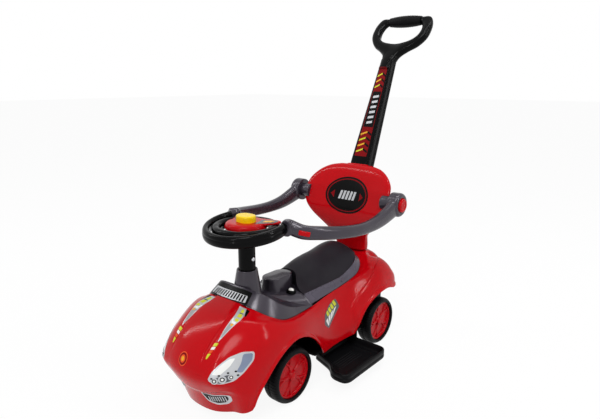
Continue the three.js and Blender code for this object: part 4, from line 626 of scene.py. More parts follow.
def oval(half_width, half_height, power=1.0, sides=32):
    c, s = np.cos(turns_of(sides)), np.sin(turns_of(sides))
    across = half_width * np.sign(c) * np.abs(c) ** power
    return np.stack([across, half_height * np.sign(s) * np.abs(s) ** power], axis=1)


def sweep_rings(path, section):
    """Rings of section(share), given across and up, along a path."""
    along = unit(np.gradient(path, axis=0))
    side = unit(np.cross((0, 0, 1), along))
    up = np.cross(along, side)
    shares = np.linspace(0, 1, len(path))
    return [
        path[i] + section(share)[:, :1] * side[i] + section(share)[:, 1:] * up[i]
        for i, share in enumerate(shares)
    ]


def mirrored(piece, name):
    """The same piece on the other side of the car."""
    mesh = piece.data.copy()
    mesh.transform(Matrix.Diagonal((-1, 1, 1, 1)))
    mesh.flip_normals()
    mesh.name = name
    return placed(name, mesh)


def both_sides(piece, name, sharp):
    """The left piece and its mirror image, each after its side's word."""
    other = mirrored(piece, name)
    shade(other, sharp)
    return ("left", piece), ("right", other)


def copy_of(node):
    """A welded copy of one of the frame's pieces, to be changed."""
    piece = placed(node + "_skin", frame["nodes"][node].data.copy())
    weld_mesh(piece)
    return piece


def dress(piece, body, finish, nodes=()):
    """Gives a piece its finish, hangs it on its body's empty and hides the parts it stands for."""
    if finish:
        piece.data.materials.clear()
        piece.data.materials.append(finish)
    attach(piece, body)
    if nodes:
        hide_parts(*nodes)
    return piece


# Finishes


def plug(tree, socket, value):
    """Sets a socket, or links it where the value is another node's output."""
    if isinstance(value, bpy.types.NodeSocket):
        tree.links.new(value, socket)
    else:
        socket.default_value = value


def add_node(tree, kind, **inputs):
    """A shader node with some inputs plugged, an underscore standing for a space in their names."""
    node = tree.nodes.new("ShaderNode" + kind)
    for name, value in inputs.items():
        plug(tree, node.inputs[name.replace("_", " ")], value)
    return node


def plastic(name, color, roughness, grain=900, bump=0.02, mottle=0.05, specular=0.5, metallic=0.0):
    """A moulded plastic: mottled colour, uneven gloss and a fine grain."""
    finish = bpy.data.materials.new(name)
    finish.use_nodes = True
    tree = finish.node_tree
    shader = tree.nodes["Principled BSDF"]
    shader.inputs["Metallic"].default_value = metallic
    shader.inputs["Specular IOR Level"].default_value = specular
    place = add_node(tree, "TexCoord").outputs["Object"]

    def noise(scale, detail):
        return add_node(tree, "TexNoise", Vector=place, Scale=scale, Detail=detail).outputs["Fac"]

    def ranged(value, low, high):
        fit = add_node(tree, "MapRange", Value=value, To_Min=low, To_Max=high, From_Min=0.3, From_Max=0.7)
        return fit.outputs["Result"]

    def of_color(sockets):
        return [socket for socket in sockets if socket.type == "RGBA"]

    blend = add_node(tree, "Mix")
    blend.data_type = "RGBA"
    plug(tree, blend.inputs["Factor"], ranged(noise(*MOTTLE_NOISE), 0, 1))
    for socket, way in zip(of_color(blend.inputs), (-1, 1)):
        socket.default_value = (*(channel * (1 + way * mottle) for channel in color), 1)
    plug(tree, shader.inputs["Base Color"], of_color(blend.outputs)[0])
    gloss = ranged(noise(*GLOSS_NOISE), roughness * 0.8, roughness * 1.25)
    plug(tree, shader.inputs["Roughness"], gloss)
    relief = add_node(tree, "Bump", Strength=bump, Distance=MM, Height=noise(grain, 2))
    plug(tree, shader.inputs["Normal"], relief.outputs["Normal"])
    return finish


def make_finishes():
    dark = {"specular": 0.08, "mottle": 0.2}
    foil = {"specular": 0.3, "metallic": 0.3, "mottle": 0.2}
    ink = {"specular": 0.2, "mottle": 0.08}
    rows = [
        ("red", "red_plastic", (0.46, 0.0008, 0.004), 0.12, {"specular": 0.11, "mottle": 0.02}),
        ("deep_red", "deep_red_plastic", (0.2, 0.0008, 0.003), 0.25, {"specular": 0.1}),
        ("wheel_red", "wheel_red_plastic", (0.42, 0.001, 0.005), 0.26,
         {"grain": 1400, "bump": 0.04, "specular": 0.12}),
        ("black", "black_gloss_plastic", (0.0012, 0.0012, 0.0014), 0.18, dark),
        ("satin", "black_satin_plastic", (0.0025, 0.0025, 0.003), 0.4, {**dark, "grain": 1600, "bump": 0.08}),
        ("tyre", "tyre_plastic", (0.004, 0.004, 0.0045), 0.45, {**dark, "grain": 2200, "bump": 0.12}),
        ("gunmetal", "gunmetal_plastic", (0.036, 0.03, 0.042), 0.2, {"metallic": 0.25}),
        ("silver", "silver_plastic", (0.085, 0.076, 0.1), 0.27, {"specular": 0.25, "metallic": 0.4}),
        ("charcoal", "charcoal_plastic", (0.013, 0.011, 0.015), 0.4,
         {"grain": 1900, "bump": 0.18, "specular": 0.1, "mottle": 0.12}),
        ("yellow", "yellow_plastic", (0.88, 0.6, 0.0), 0.25, {"specular": 0.25, "mottle": 0.03}),
        ("pale", "pale_plastic", (0.82, 0.81, 0.78), 0.2, {"specular": 0.3, "mottle": 0.02}),
        ("steel", "zinc_steel", (0.5, 0.51, 0.53), 0.3, {"grain": 600, "bump": 0.1, "metallic": 1.0}),
        ("foil", "silver_foil", (0.5, 0.51, 0.53), 0.3, {"specular": 0.3, "metallic": 0.35, "mottle": 0.1}),
        ("foil_dark", "dark_foil", (0.09, 0.093, 0.105), 0.3, foil),
        ("foil_blue", "blue_grey_foil", (0.2, 0.24, 0.34), 0.28, foil),
        ("print_white", "white_print", (0.8, 0.8, 0.78), 0.3, {"specular": 0.2, "mottle": 0.03}),
        ("print_grey", "grey_print", (0.3, 0.3, 0.31), 0.3, ink),
        ("print_lime", "lime_print", (0.58, 0.6, 0.03), 0.3, ink),
        ("print_amber", "amber_print", (0.75, 0.38, 0.02), 0.3, ink),
        ("print_orange", "orange_print", (0.72, 0.07, 0.01), 0.3, ink),
        ("print_black", "black_print", (0.002, 0.002, 0.002), 0.25, dark),
    ]
    return {key: plastic(name, color, roughness, **more) for key, name, color, roughness, more in rows}


# Body shell


def body_table(shares):
    return np.asarray(shares, float) * (BODY_HALF_WIDTH, WHEELBASE, DECK_HEIGHT)


def past_ends(table):
    """Mirrored copies of the next ribs, before the first and after the last."""
    return np.concatenate([table[1:2] * MIRROR, table, table[-2:-1] * MIRROR])


def body_net():
    ribs = past_ends(body_table(RIB_SHARES))
    before = 2 * ribs[:, :1] - ribs[:, 1:2]
    after = 2 * ribs[:, -1:] - ribs[:, -2:-1]
    return np.concatenate([before, ribs, after], axis=1)


NET = body_net()
LEDGE = past_ends(body_table(LEDGE_SHARES))


def curve_weights(t):
    return (
        (-t + 2 * t ** 2 - t ** 3) / 2, (2 - 5 * t ** 2 + 3 * t ** 3) / 2,
        (t + 4 * t ** 2 - 3 * t ** 3) / 2, (t ** 3 - t ** 2) / 2,
    )


def net_place(ribs, rows):
    ribs, rows = np.broadcast_arrays(np.asarray(ribs, float), np.asarray(rows, float))
    i = np.clip(np.floor(ribs).astype(int), 0, LAST_RIB - 1)
    j = np.clip(np.floor(rows).astype(int), 0, LAST_ROW - 1)
    across, down = curve_weights(ribs - i), curve_weights(rows - j)
    return sum(
        (across[a] * down[b])[..., None] * NET[i + a, j + b] for a in range(4) for b in range(4)
    )


def ledge_place(ribs):
    i = np.clip(np.floor(ribs).astype(int), 0, LAST_RIB - 1)
    across = curve_weights(ribs - i)
    return sum(across[a][..., None] * LEDGE[i + a] for a in range(4))


def super_oval(distance, half_length, height, power):
    share = np.clip(np.abs(distance) / half_length, 0, 1)
    return height * (1 - share ** power) ** (1 / power)


def well_edge(x, y):
    """Height of a wheel well's edge over a place, or zero where no well is."""
    front_rise, rear_rise = FRONT_WELL_TOP - FRONT_WELL_FOOT, REAR_WELL_TOP - REAR_WELL_FOOT
    front = FRONT_WELL_FOOT + super_oval(y, FRONT_WELL_HALF_LENGTH, front_rise, WELL_POWER)
    front = np.where(np.abs(y) < FRONT_WELL_HALF_LENGTH, front, 0)
    behind = y - WHEELBASE
    rear = REAR_WELL_FOOT + super_oval(behind, REAR_WELL_HALF_LENGTH, rear_rise, WELL_POWER)
    ahead = np.where(behind > -REAR_WELL_HALF_LENGTH, rear, 0)
    inner, outer = (share * BODY_HALF_WIDTH for share in TAIL_CUT_SHARES)
    tail = np.maximum(rear, TAIL_LIP_HEIGHT) * smooth(np.abs(x), inner, outer)
    return np.where(y < WHEELBASE / 2, front, np.where(behind < 0, ahead, tail))


def channel_rib(table, rows):
    return spline(np.array(table), np.clip(rows, 0, len(table) - 1))


def column_rib(column, rows):
    """The rib that a column of the mesh follows at some rows: it bends along the hood's channels."""
    inner, outer = channel_rib(CHANNEL_INNER_RIBS, rows), channel_rib(CHANNEL_OUTER_RIBS, rows)
    stops = [np.zeros_like(inner), inner, outer, np.full_like(inner, SIDE_RIB), np.full_like(inner, LAST_RIB)]
    count = column
    for k, columns in enumerate(COLUMN_COUNTS):
        if count <= columns:
            return stops[k] + (stops[k + 1] - stops[k]) * count / columns
        count -= columns
    return stops[-1]


def last_row(column):
    """The row at which the wheel well cuts a column off."""
    def spare(rows):
        place = net_place(column_rib(column, rows), rows)
        return place[..., 2] - well_edge(place[..., 0], place[..., 1])
    rows = np.linspace(0, LAST_ROW, TRIM_STEPS + 1)
    low = np.nonzero(spare(rows) < 0)[0]
    if len(low) == 0:
        return LAST_ROW
    above, below = rows[low[0] - 1], rows[low[0]]
    for _ in range(TRIM_HALVINGS):
        middle = (above + below) / 2
        if spare(np.array([middle]))[0] < 0:
            below = middle
        else:
            above = middle
    return above


def body_relief(ribs, rows):
    """What the side stands out by: a notch before the tail lip and a raised rear fender."""
    across = np.exp(-(((ribs - NOTCH_RIB) / NOTCH_WIDTH) ** 2))
    notch = NOTCH_DEPTH * across * smooth(rows, *NOTCH_START_ROWS) * (1 - smooth(rows, *NOTCH_END_ROWS))
    ridge_at = np.interp(rows, FENDER_ROWS, FENDER_RIBS)
    fade = (1 - smooth(ribs, *FENDER_END_RIBS)) * smooth(rows, *FENDER_START_ROWS)
    return FENDER_RISE * smooth(ribs - ridge_at, 0, FENDER_STEP) * fade - notch


def body_column(column):
    """The places down one column of the shell, from the ledge to the wheel well's edge or the foot."""
    last = last_row(column)
    rows = last * np.linspace(0, 1, ROW_COUNT + 1)
    ribs = column_rib(column, rows)
    place = net_place(ribs, rows)
    along = net_place(ribs + NUDGE, rows) - net_place(ribs - NUDGE, rows)
    down = net_place(ribs, rows + NUDGE) - net_place(ribs, rows - NUDGE)
    out = unit(np.cross(down, along))
    into_channel = (column - COLUMN_COUNTS[0]) / COLUMN_COUNTS[1]
    if 0 < into_channel < 1:
        depth = smooth(into_channel, 0, CHANNEL_WALL) * (1 - smooth(into_channel, CHANNEL_FLOOR, 1))
        fade = 1 - smooth(rows, *CHANNEL_FADE)
        place = place - out * (CHANNEL_DEPTH * depth * fade)[:, None]
    place = place + out * body_relief(ribs, rows)[:, None]
    corner = np.exp(-(((ribs - NOSE_CORNER_RIB) / NOSE_CORNER_WIDTH) ** 2))
    place[:, 2] += NOSE_LIFT * smooth(rows, *NOSE_LIFT_ROWS) * corner
    lengths = np.linalg.norm(np.diff(place, axis=0), axis=1)
    from_edge = np.append(np.cumsum(lengths[::-1])[::-1], 0)
    if last < LAST_ROW and abs(place[-1, 0]) > BODY_HALF_WIDTH / 2:
        rise = LIP_RISE * (1 - smooth(from_edge, LIP_EDGE, LIP_WIDTH))
        place = place + out * rise[:, None]
    return np.vstack([ledge_place(np.array([ribs[0]]))[0], place])


def body_shell(finish):
    half = np.array([body_column(column) for column in range(sum(COLUMN_COUNTS) + 1)])
    grid = np.concatenate([half, half[1:-1][::-1] * MIRROR])
    columns, rows = grid.shape[:2]
    shell = mesh_object("body_shell_skin", grid.reshape(-1, 3), grid_faces(columns, rows, True), 50)
    change(shell, ("SOLIDIFY", {"thickness": BODY_WALL * MM, "offset": -1}))
    shade(shell, 50)
    return dress(shell, "car", finish["red"], ["body_shell"])


# Dashboard


def band_top(rib):
    table = body_table(BAND_TOP_SHARES)
    table = np.vstack([table[1] * MIRROR, table, table[-1:]])
    return spline(table, rib + 1)


def seam_place(x):
    return SEAM_Y + SEAM_BULGE * np.exp(-((np.abs(x) / SEAM_BULGE_HALF_WIDTH) ** 4))


def cone_foot_height(y):
    return CONE_FOOT - DECK_SLOPE * (y - COLUMN_Y)


def dash_section(edge, top, drop):
    """One upright section, from the lower edge over the lip, the deck and the cone into its bore."""
    centre = np.array([0, COLUMN_Y, 0.0])

    def inward(place, distance):
        flat = centre - place
        flat[2] = 0
        return place + unit(flat) * distance

    lip = inward(top, DECK_EDGE)
    away = (inward(lip, 1) - centre) * (1, 1, 0)
    direction = unit(away)

    def ring(radius, height):
        return centre + direction * radius + (0, 0, height)

    deck = []
    for share, sunk in ((0, drop), (TROUGH_SHARE, 0), (DECK_SHARE, 0), (1, 0)):
        place = ring(lerp(np.linalg.norm(away), CONE_FOOT_RADIUS, share), 0)
        height = lerp(top[2] - DECK_DROP, cone_foot_height(place[1]), share) - sunk
        deck.append(place + (0, 0, height))
    corners = [
        inward(edge, BODY_WALL), edge, top, lip, *deck, ring(CONE_TOP_RADIUS, CONE_TOP),
        ring(CONE_BORE, CONE_TOP), ring(CONE_BORE, CONE_TOP - CONE_BORE_DEPTH),
    ]
    return rounded(corners, DASH_EASES)


def dashboard(finish):
    right = []
    for rib in np.linspace(0, BAND_END_RIB, 70):
        edge = net_place(rib, 0)
        along = net_place(rib + NUDGE, 0) - net_place(max(rib - NUDGE, 0), 0)
        down = net_place(rib, NUDGE) - net_place(rib, 0)
        out = unit(np.cross(down, along) * (1, 1, 0))
        edge = edge - out * SEAM_GAP + (0, 0, SEAM_GAP)
        top = band_top(rib)
        top[2] = max(top[2], edge[2] + 2)
        right.append(dash_section(edge, top, TROUGH_DROP * (1 - smooth(rib, *TROUGH_RIBS))))
    # A black strip laid along the trough behind the windscreen band: painted shade, standing for the shadow
    # down in this narrow trough.
    shaded_trough_half = np.array(right)[:SHADE_STRIP_SECTIONS, rounded_index(3) + 3:rounded_index(5) + 1] + (0, 0, 0.5)
    strip = np.concatenate([(shaded_trough_half[1:] * MIRROR)[::-1], shaded_trough_half])
    trough_shade = mesh_object("dash_trough_painted_shade", strip.reshape(-1, 3), grid_faces(*strip.shape[:2]), 35)
    dress(trough_shade, "car", finish["black"])
    corner = right[-1][rounded_index(1)]
    for k in range(1, SEAM_SECTIONS + 1):
        x = corner[0] * (1 - k / SEAM_SECTIONS) ** 0.8
        share = (x / corner[0]) ** 4
        top = np.array([x, seam_place(x) - 0.5, lerp(SEAM_HEIGHT, corner[2] + 2, share)])
        right.append(dash_section(top - (0, 0, lerp(SEAM_DEPTH, 2, share)), top, 0))
    right = np.array(right)
    grid = np.concatenate([right, right[1:-1][::-1] * MIRROR])
    sections, places = grid.shape[:2]
    deck = mesh_object("dashboard_skin", grid.reshape(-1, 3), grid_faces(sections, places, True), 35)
    change(deck, ("SOLIDIFY", {"thickness": DASH_WALL * MM, "offset": -1}))
    whole = join("dashboard_skin", [deck, pommel()])
    shade(whole, 35)
    return dress(whole, "car", finish["gunmetal"], ["dashboard"])


def rounded_index(corner):
    """Where a corner's curve starts in a section eased by rounded() with its usual steps."""
    return 1 + (corner - 1) * 5


def pommel():
    def ring(radius, height):
        turns = np.linspace(0, 2 * math.pi, 97)[:-1]
        y = np.where(np.sin(turns) >= 0, POMMEL_REAR_Y, POMMEL_FRONT_Y)
        return at_height(np.stack([radius * np.cos(turns), y + radius * np.sin(turns)], axis=1), height)
    path = eased([(POMMEL_FOOT_RADIUS, POMMEL_FOOT, 0), (POMMEL_TOP_RADIUS, POMMEL_TOP, 3.5),
                  (2, POMMEL_TOP + 1.2, 0)], 6)
    return loft("pommel", [ring(radius, height) for radius, height in path], sharp=50)


# Seat


def rear_edge(x, half_width, depth):
    return LID_REAR_START + super_oval(x, half_width, depth, SEAT_POWER)


def lid_edge_height(y):
    return LID_EDGE_FRONT + LID_EDGE_RISE * smooth(y, *LID_EDGE_RISE_SPAN)


def lid_height(x, y):
    front, back = seam_place(0) + 0.5, rear_edge(0, LID_HALF_WIDTH, LID_REAR_DEPTH)
    share = (y - front) / (back - front)
    crown = LID_CROWN * by_share(np.array(CROWN_SHARES), share)
    full = 1 - (np.abs(x) / LID_HALF_WIDTH) ** SEAT_POWER
    bell = np.exp(-((np.abs(x) / LID_BELL_HALF_WIDTH) ** 3))
    return lid_edge_height(y) + crown * lerp(bell, full, smooth(share, 0, LID_BELL_SHARE))


def seat_lid(finish):
    across = (LID_HALF_WIDTH - LID_GAP) * np.sin(np.linspace(-math.pi / 2, math.pi / 2, 81))
    rows = []
    for share in np.linspace(0, 1, 91):
        y = lerp(seam_place(across) + 0.5, rear_edge(across, LID_HALF_WIDTH, LID_REAR_DEPTH), share)
        rows.append(np.stack([across, y, lid_height(across, y)], axis=1))
    skirt = rows[0] * (1, 1, 0) + (0, 0, SKIRT_FOOT)
    grid = np.array([skirt, *rows])
    lid = mesh_object("seat_lid_skin", grid.reshape(-1, 3), grid_faces(*grid.shape[:2]), 60)
    change(
        lid,
        ("SOLIDIFY", {"thickness": LID_THICKNESS * MM, "offset": -1}),
        ("BEVEL", {"width": LID_BEVEL * MM, "segments": 3, "limit_method": "ANGLE",
                   "angle_limit": math.radians(50)}),
    )
    shade(lid, 60)
    return dress(lid, "seat", finish["charcoal"], ["seat_lid"])


def body_edge_height(y):
    ribs = np.linspace(4.5, LAST_RIB, 400)
    edge = net_place(ribs, np.zeros_like(ribs))
    return np.interp(y, edge[:, 1], edge[:, 2])


def trim_stations():
    """Where the trim's sections stand on one side, each as its inner and its outer place in plan."""
    inner = LID_HALF_WIDTH + LID_GAP
    power = 2 / SEAT_POWER

    def bend(half_width, depth, angle):
        c, s = math.cos(angle), max(math.sin(angle), 0)
        x = half_width * math.copysign(abs(c) ** power, c)
        return np.array([x, LID_REAR_START + depth * s ** power])

    straight = np.linspace(SEAM_Y + 0.5, LID_REAR_START, 40)[:-1]
    stations = [(np.array([inner, y]), np.array([TRIM_HALF_WIDTH, y])) for y in straight]
    for angle in np.linspace(0, math.pi / 2, 50):
        inside = bend(inner, LID_REAR_DEPTH + LID_GAP, angle)
        stations.append((inside, bend(TRIM_HALF_WIDTH, TRIM_REAR_DEPTH, angle)))
    return stations


def seat_trim(finish):
    half = []
    for inside, outside in trim_stations():
        start = np.array([*inside, lid_edge_height(inside[1])])
        end = np.array([*outside, body_edge_height(outside[1]) + TRIM_OUTER_RISE])
        rows = [(*(lerp(start, end, share) + (0, 0, rise)), ease) for share, rise, ease in TRIM_SECTION]
        half.append(eased(rows, 3))
    half = np.array(half)
    rings = np.concatenate([half, (half[:-1] * MIRROR)[::-1]])
    trim = loft("seat_trim_skin", rings, sharp=40)
    return dress(trim, "car", finish["silver"], ["seat_trim"])


# Backrest


def backrest(finish):
    rows = len(BACKREST_SHARES) - 1
    section = oval(1, 1, BACKREST_POWER, 96)
    across, through = section.T
    rings = []
    for height, width, middle, depth, sweep in spline(np.array(BACKREST_SHARES), np.linspace(0, rows, 120)):
        y = middle * WHEELBASE + depth * BACKREST_HALF_WIDTH * through
        y -= sweep * BACKREST_HALF_WIDTH * across ** 2
        z = np.full(len(section), lerp(PLUG_FOOT, BACKREST_TOP, height))
        rings.append(np.stack([width * BACKREST_HALF_WIDTH * across, y, z], axis=1))
    panel = loft("panel", rings)
    housing = leaning_prism([half + HOUSING_WALL for half in POLE_FOOT_HALF], *HOUSING_SPAN, 7)
    socket = leaning_prism([half + SOCKET_GAP for half in POLE_FOOT_HALF], *SOCKET_SPAN, 4)
    whole = fuse("backrest_skin", [panel, housing], 1.6, 4)
    cut_away(whole, socket)
    shade(whole, 50)
    profile = eased([(0, 0, 0), (BOSS_RADIUS, 0, 2), (BOSS_RADIUS, BOSS_LENGTH, 2), (0, BOSS_LENGTH, 0)])
    foot = ARM_BOSS_INNER_X - 0.3 - BOSS_LENGTH
    for side, word in SIDES:
        boss = lathe("backrest_boss_" + word, profile, (side, 0, 0), (side * foot, *PIVOT[1:]), closed=False)
        dress(boss, "car", finish["gunmetal"])
    return dress(whole, "car", finish["red"], ["backrest"])


def lean_with_pole(points):
    c, s = math.cos(POLE_LEAN), math.sin(POLE_LEAN)
    x, y, z = np.moveaxis(np.asarray(points, float), -1, 0)
    return np.stack([x, y * c + z * s, z * c - y * s], axis=-1) + POLE_FOOT


def leaning_prism(half, low, high, corner):
    x, y = half
    outline = rounded([(x, y), (-x, y), (-x, -y), (x, -y)], corner, 4, True)
    rings = [at_height(outline, z) for z in np.linspace(low, high, 12)]
    return loft("prism", lean_with_pole(rings))


# Wheels


def wheel_points(points, side, end):
    """From a wheel's own frame, x outwards, to its place on the car."""
    y = 0 if end == "front" else WHEELBASE
    return np.asarray(points) * (side, 1, 1) + (side * WHEEL_X, y, AXLE_Z)


def tyre_points():
    """Rings round the wheel: the section turned about the axle, with grooves across and round the tread."""
    half, tread = WHEEL_HALF_WIDTH, WHEEL_RADIUS
    section = eased([
        (AXLE_BORE, 1 - half, 0), (HUB_RADIUS, 1 - half, 1), (HUB_RADIUS, -WEB_HALF, 2),
        (RIM_RADIUS, -WEB_HALF, 2), (RIM_RADIUS, -half, 1), (SHOULDER_RADIUS - 4, -half, 2),
        (SHOULDER_RADIUS + 1.5, -half + 2.2, 3), (tread - 0.4, -TREAD_HALF_WIDTH, 2.5), (tread, -8, 1),
        (tread, -2, 0.3), (tread - TREAD_DEPTH, -1.2, 0.3), (tread - TREAD_DEPTH, 1.2, 0.3), (tread, 2, 0.3),
        (tread, 8, 1), (tread - 0.4, TREAD_HALF_WIDTH, 2.5), (SHOULDER_RADIUS + 1.5, half - 2.2, 3),
        (SHOULDER_RADIUS - 2, half, 1.5), (DISC_RADIUS + 0.3, half - 0.8, 0.5),
        (DISC_RADIUS + 0.3, DISC_SEAT, 0.5),
        (RIM_RADIUS, DISC_SEAT, 0.5), (RIM_RADIUS, WEB_HALF, 1), (AXLE_BORE, WEB_HALF, 0),
    ], 3)
    radius, x = section.T
    in_tread = smooth(radius, SHOULDER_RADIUS + 0.5, SHOULDER_RADIUS + 2.5)
    twist = np.abs(x) * TREAD_SLANT
    rings = []
    for block_number in range(TREAD_BLOCKS):
        for place, depth in TREAD_STEPS:
            turn = (block_number + place) * 2 * math.pi / TREAD_BLOCKS + twist * in_tread
            r = radius - TREAD_DEPTH * depth * in_tread
            rings.append(np.stack([x, r * np.cos(turn), r * np.sin(turn)], axis=1))
    return np.array(rings)


def disc_height(radius, turn):
    """Relief of a wheel disc's face: rim ring, forked spokes, sunk panels and a hub dome."""
    height = np.full_like(radius, DISC_SUNK)
    phase = (turn * SPOKE_COUNT / (2 * math.pi)) % 1 - 0.5
    across = phase * 2 * math.pi / SPOKE_COUNT * radius
    stem = np.abs(across) - SPOKE_HALF_WIDTH
    fork_at = (radius - FORK_RADIUS) * FORK_SPREAD
    fork = np.abs(np.abs(across) - np.maximum(fork_at, 0)) - SPOKE_HALF_WIDTH * FORK_SHARE
    away = np.where(radius < FORK_RADIUS, stem, fork)
    spoke = 1 - smooth(away, *SPOKE_EDGE)
    height += (DISC_FACE - SPOKE_DROP - DISC_SUNK) * spoke
    rim = smooth(radius, RIM_RING - RIM_RING_EDGE, RIM_RING)
    height = np.maximum(height, lerp(DISC_SUNK, DISC_FACE, rim))
    hub = smooth(-radius, -HUB_DOME, -HUB_DOME + HUB_EDGE)
    dome = DISC_FACE + HUB_RISE * np.sqrt(np.clip(1 - (radius / HUB_DOME) ** 2, 0, 1))
    height = np.maximum(height, lerp(DISC_SUNK, dome, hub))
    ring = np.exp(-((radius - HUB_GROOVE_RADIUS) / HUB_GROOVE_WIDTH) ** 2)
    return height - HUB_GROOVE_DEPTH * ring * (radius < HUB_DOME)


def disc_points():
    turns = turns_of(DISC_SIDES)
    radii = [*np.linspace(0.8, HUB_DOME, 10), *np.linspace(HUB_DOME + 0.8, DISC_RADIUS - 1.2, 44)]
    face = [(radius, disc_height(np.full(DISC_SIDES, radius), turns)) for radius in radii]
    rim = [
        (DISC_RADIUS - 0.4, DISC_FACE - 0.3), (DISC_RADIUS, DISC_FACE - 1.2), (DISC_RADIUS, DISC_SEAT + 0.3),
    ]
    face += [(radius, np.full(DISC_SIDES, height)) for radius, height in rim]
    return [
        np.stack([height, radius * np.cos(turns), radius * np.sin(turns)], axis=1) for radius, height in face
    ]


def wheels(finish):
    tyre, disc = tyre_points(), np.array(disc_points())
    faces = grid_faces(*tyre.shape[:2], True, True)
    for end in ("front", "rear"):
        for side, word in SIDES:
            name = f"{end}_{word}"
            piece = mesh_object("tread_tyre_" + name, wheel_points(tyre, side, end).reshape(-1, 3), faces, 28)
            dress(piece, "wheel_" + name, finish["tyre"], ["tyre_" + name])
            piece = loft("relief_disc_" + name, wheel_points(disc, side, end), sharp=35)
            dress(piece, "wheel_" + name, finish["wheel_red"], ["wheel_disc_" + name])


# Steering wheel, horn and neck


def column_place(points):
    return np.asarray(points, float) + (0, COLUMN_Y, 0)


def torus_rings(radius, section, steps, height):
    rings = []
    for turn in turns_of(steps):
        out, up = section(turn).T
        away = radius + out
        ring = np.column_stack([away * math.cos(turn), away * math.sin(turn), up + height])
        rings.append(column_place(ring))
    return np.array(rings)


def steering_wheel(finish):
    def rim_section(turn):
        swell = 1 + 0.1 * smooth(abs(math.cos(turn)), 0.5, 0.75)
        return oval(RIM_HALF_WIDTH * swell, RIM_HALF_HEIGHT * swell, 0.9, 32)

    def spoke_section(share):
        return oval(lerp(14, 11, share), lerp(3.6, 4.4, share), 0.6, 24)

    rim = loft("rim", torus_rings(RIM_TORUS_RADIUS, rim_section, 160, RIM_HEIGHT), True)
    profile = eased([(SCREW_BORE, 0, 0), (46, 0, 2), (50, 5, 2), (46, 8, 1), (SCREW_BORE, 8, 0)])
    parts = [rim, lathe("hub", profile, (0, 0, 1), column_place((0, 0, HUB_FLOOR)))]
    way = ((20, HUB_FLOOR + 4), (45, HUB_FLOOR + 4.5), (58, HUB_FLOOR + 8), (68, RIM_HEIGHT - 2))
    for k in range(3):
        turn = -math.pi / 2 + k * 2 * math.pi / 3
        out = np.array([math.cos(turn), math.sin(turn), 0])
        path = [np.array([0, COLUMN_Y, 0]) + out * r + (0, 0, z) for r, z in way]
        parts.append(loft("spoke", sweep_rings(soft_path(path, 14), spoke_section)))
    whole = fuse("steering_wheel_skin", parts, 1.1, 5)
    return dress(whole, "steering_column", finish["black"], ["steering_wheel"])


def neck(finish):
    profile = eased([
        (SCREW_BORE, NECK_FOOT, 0), (NECK_RADIUS, NECK_FOOT, 1), (NECK_RADIUS, NECK_FOOT + 36, 1),
        (NECK_RADIUS, HUB_FLOOR - 16, 3), (NECK_RADIUS + 2, HUB_FLOOR - 12, 3),
        (NECK_RADIUS + 2.5, HUB_FLOOR - 0.3, 0.8), (SCREW_BORE, HUB_FLOOR - 0.3, 0),
    ])
    piece = lathe("neck_sleeve", profile, (0, 0, 1), column_place((0, 0, 0)))
    dress(piece, "steering_column", finish["black"], ["steering_neck"])
    low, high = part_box("neck_screw")
    middle = np.array((low + high) / 2) / MM - ORIGIN
    head = lathe("neck_screw_head", eased(SCREW_PROFILE, 3), (1, 0, 0), (high[0] / MM, *middle[1:]), 32,
                 closed=False)
    dress(head, "steering_column", finish["steel"], ["neck_screw"])


def pod_outline(x, y, radius, count=48):
    return [(x + radius * math.cos(turn), y + radius * math.sin(turn)) for turn in turns_of(count)]


def horn_pod(finish):
    profile = eased([
        (0, POD_FLOOR, 0), (POD_RADIUS - 4, POD_FLOOR, 2), (POD_RADIUS, POD_FLOOR + 6, 4),
        (POD_RADIUS, POD_TOP - 8, 4), (POD_RADIUS - 3, POD_TOP - 2, 4), (POD_RADIUS - 10, POD_TOP, 3),
        (0, POD_TOP, 0),
    ])
    parts = [lathe("pod", profile, (0, 0, 1), column_place((0, 0, 0)), closed=False)]
    for side in (-1, 1):
        rings = []
        for depth, inset in ((5.5, 0.5), (4, 0), (1.5, 0), (0.2, 1.5)):
            root = pod_outline(0, 0, WING_ROOT_RADIUS - inset)
            tip = pod_outline(side * WING_TIP[0], WING_TIP[1], WING_TIP_RADIUS - 1 - inset)
            rings.append(column_place(at_height(hull_outline(root + tip), POD_TOP - depth)))
        parts.append(loft("wing", rings))
    whole = fuse("horn_pod_skin", parts, 1.0, 5)
    room = stadium(BUTTON_HALF_LENGTH + 0.4, BUTTON_HALF_WIDTH + 0.4)
    cut_away(whole, loft("room", [column_place(at_height(room, z)) for z in (POD_TOP - 7.3, POD_TOP + 6)]))
    shade(whole, 45)
    return dress(whole, "steering_column", finish["red"], ["horn_pod"])


def hull_outline(places, count=72):
    """The convex outline round some places, at even steps."""
    flat = bmesh.new()
    for x, y in places:
        flat.verts.new((x, y, 0))
    bmesh.ops.convex_hull(flat, input=flat.verts)
    rim = sorted({v for v in flat.verts if v.is_boundary or v.link_edges}, key=lambda v: v.index)
    corners = np.array([v.co[:2] for v in rim])
    flat.free()
    ring = corners[np.argsort(np.arctan2(*(corners - corners.mean(0)).T[::-1]))]
    closed = np.vstack([ring, ring[:1]])
    along = np.concatenate([[0], np.cumsum(np.linalg.norm(np.diff(closed, axis=0), axis=1))])
    marks = np.linspace(0, along[-1], count + 1)[:-1]
    return np.stack([np.interp(marks, along, values) for values in closed.T], axis=1)


def stadium(half_length, half_width, count=64):
    turns = turns_of(count, 0.5)
    straight = half_length - half_width
    x = half_width * np.cos(turns) + np.where(np.cos(turns) > 0, straight, -straight)
    return np.stack([x, half_width * np.sin(turns)], axis=1)


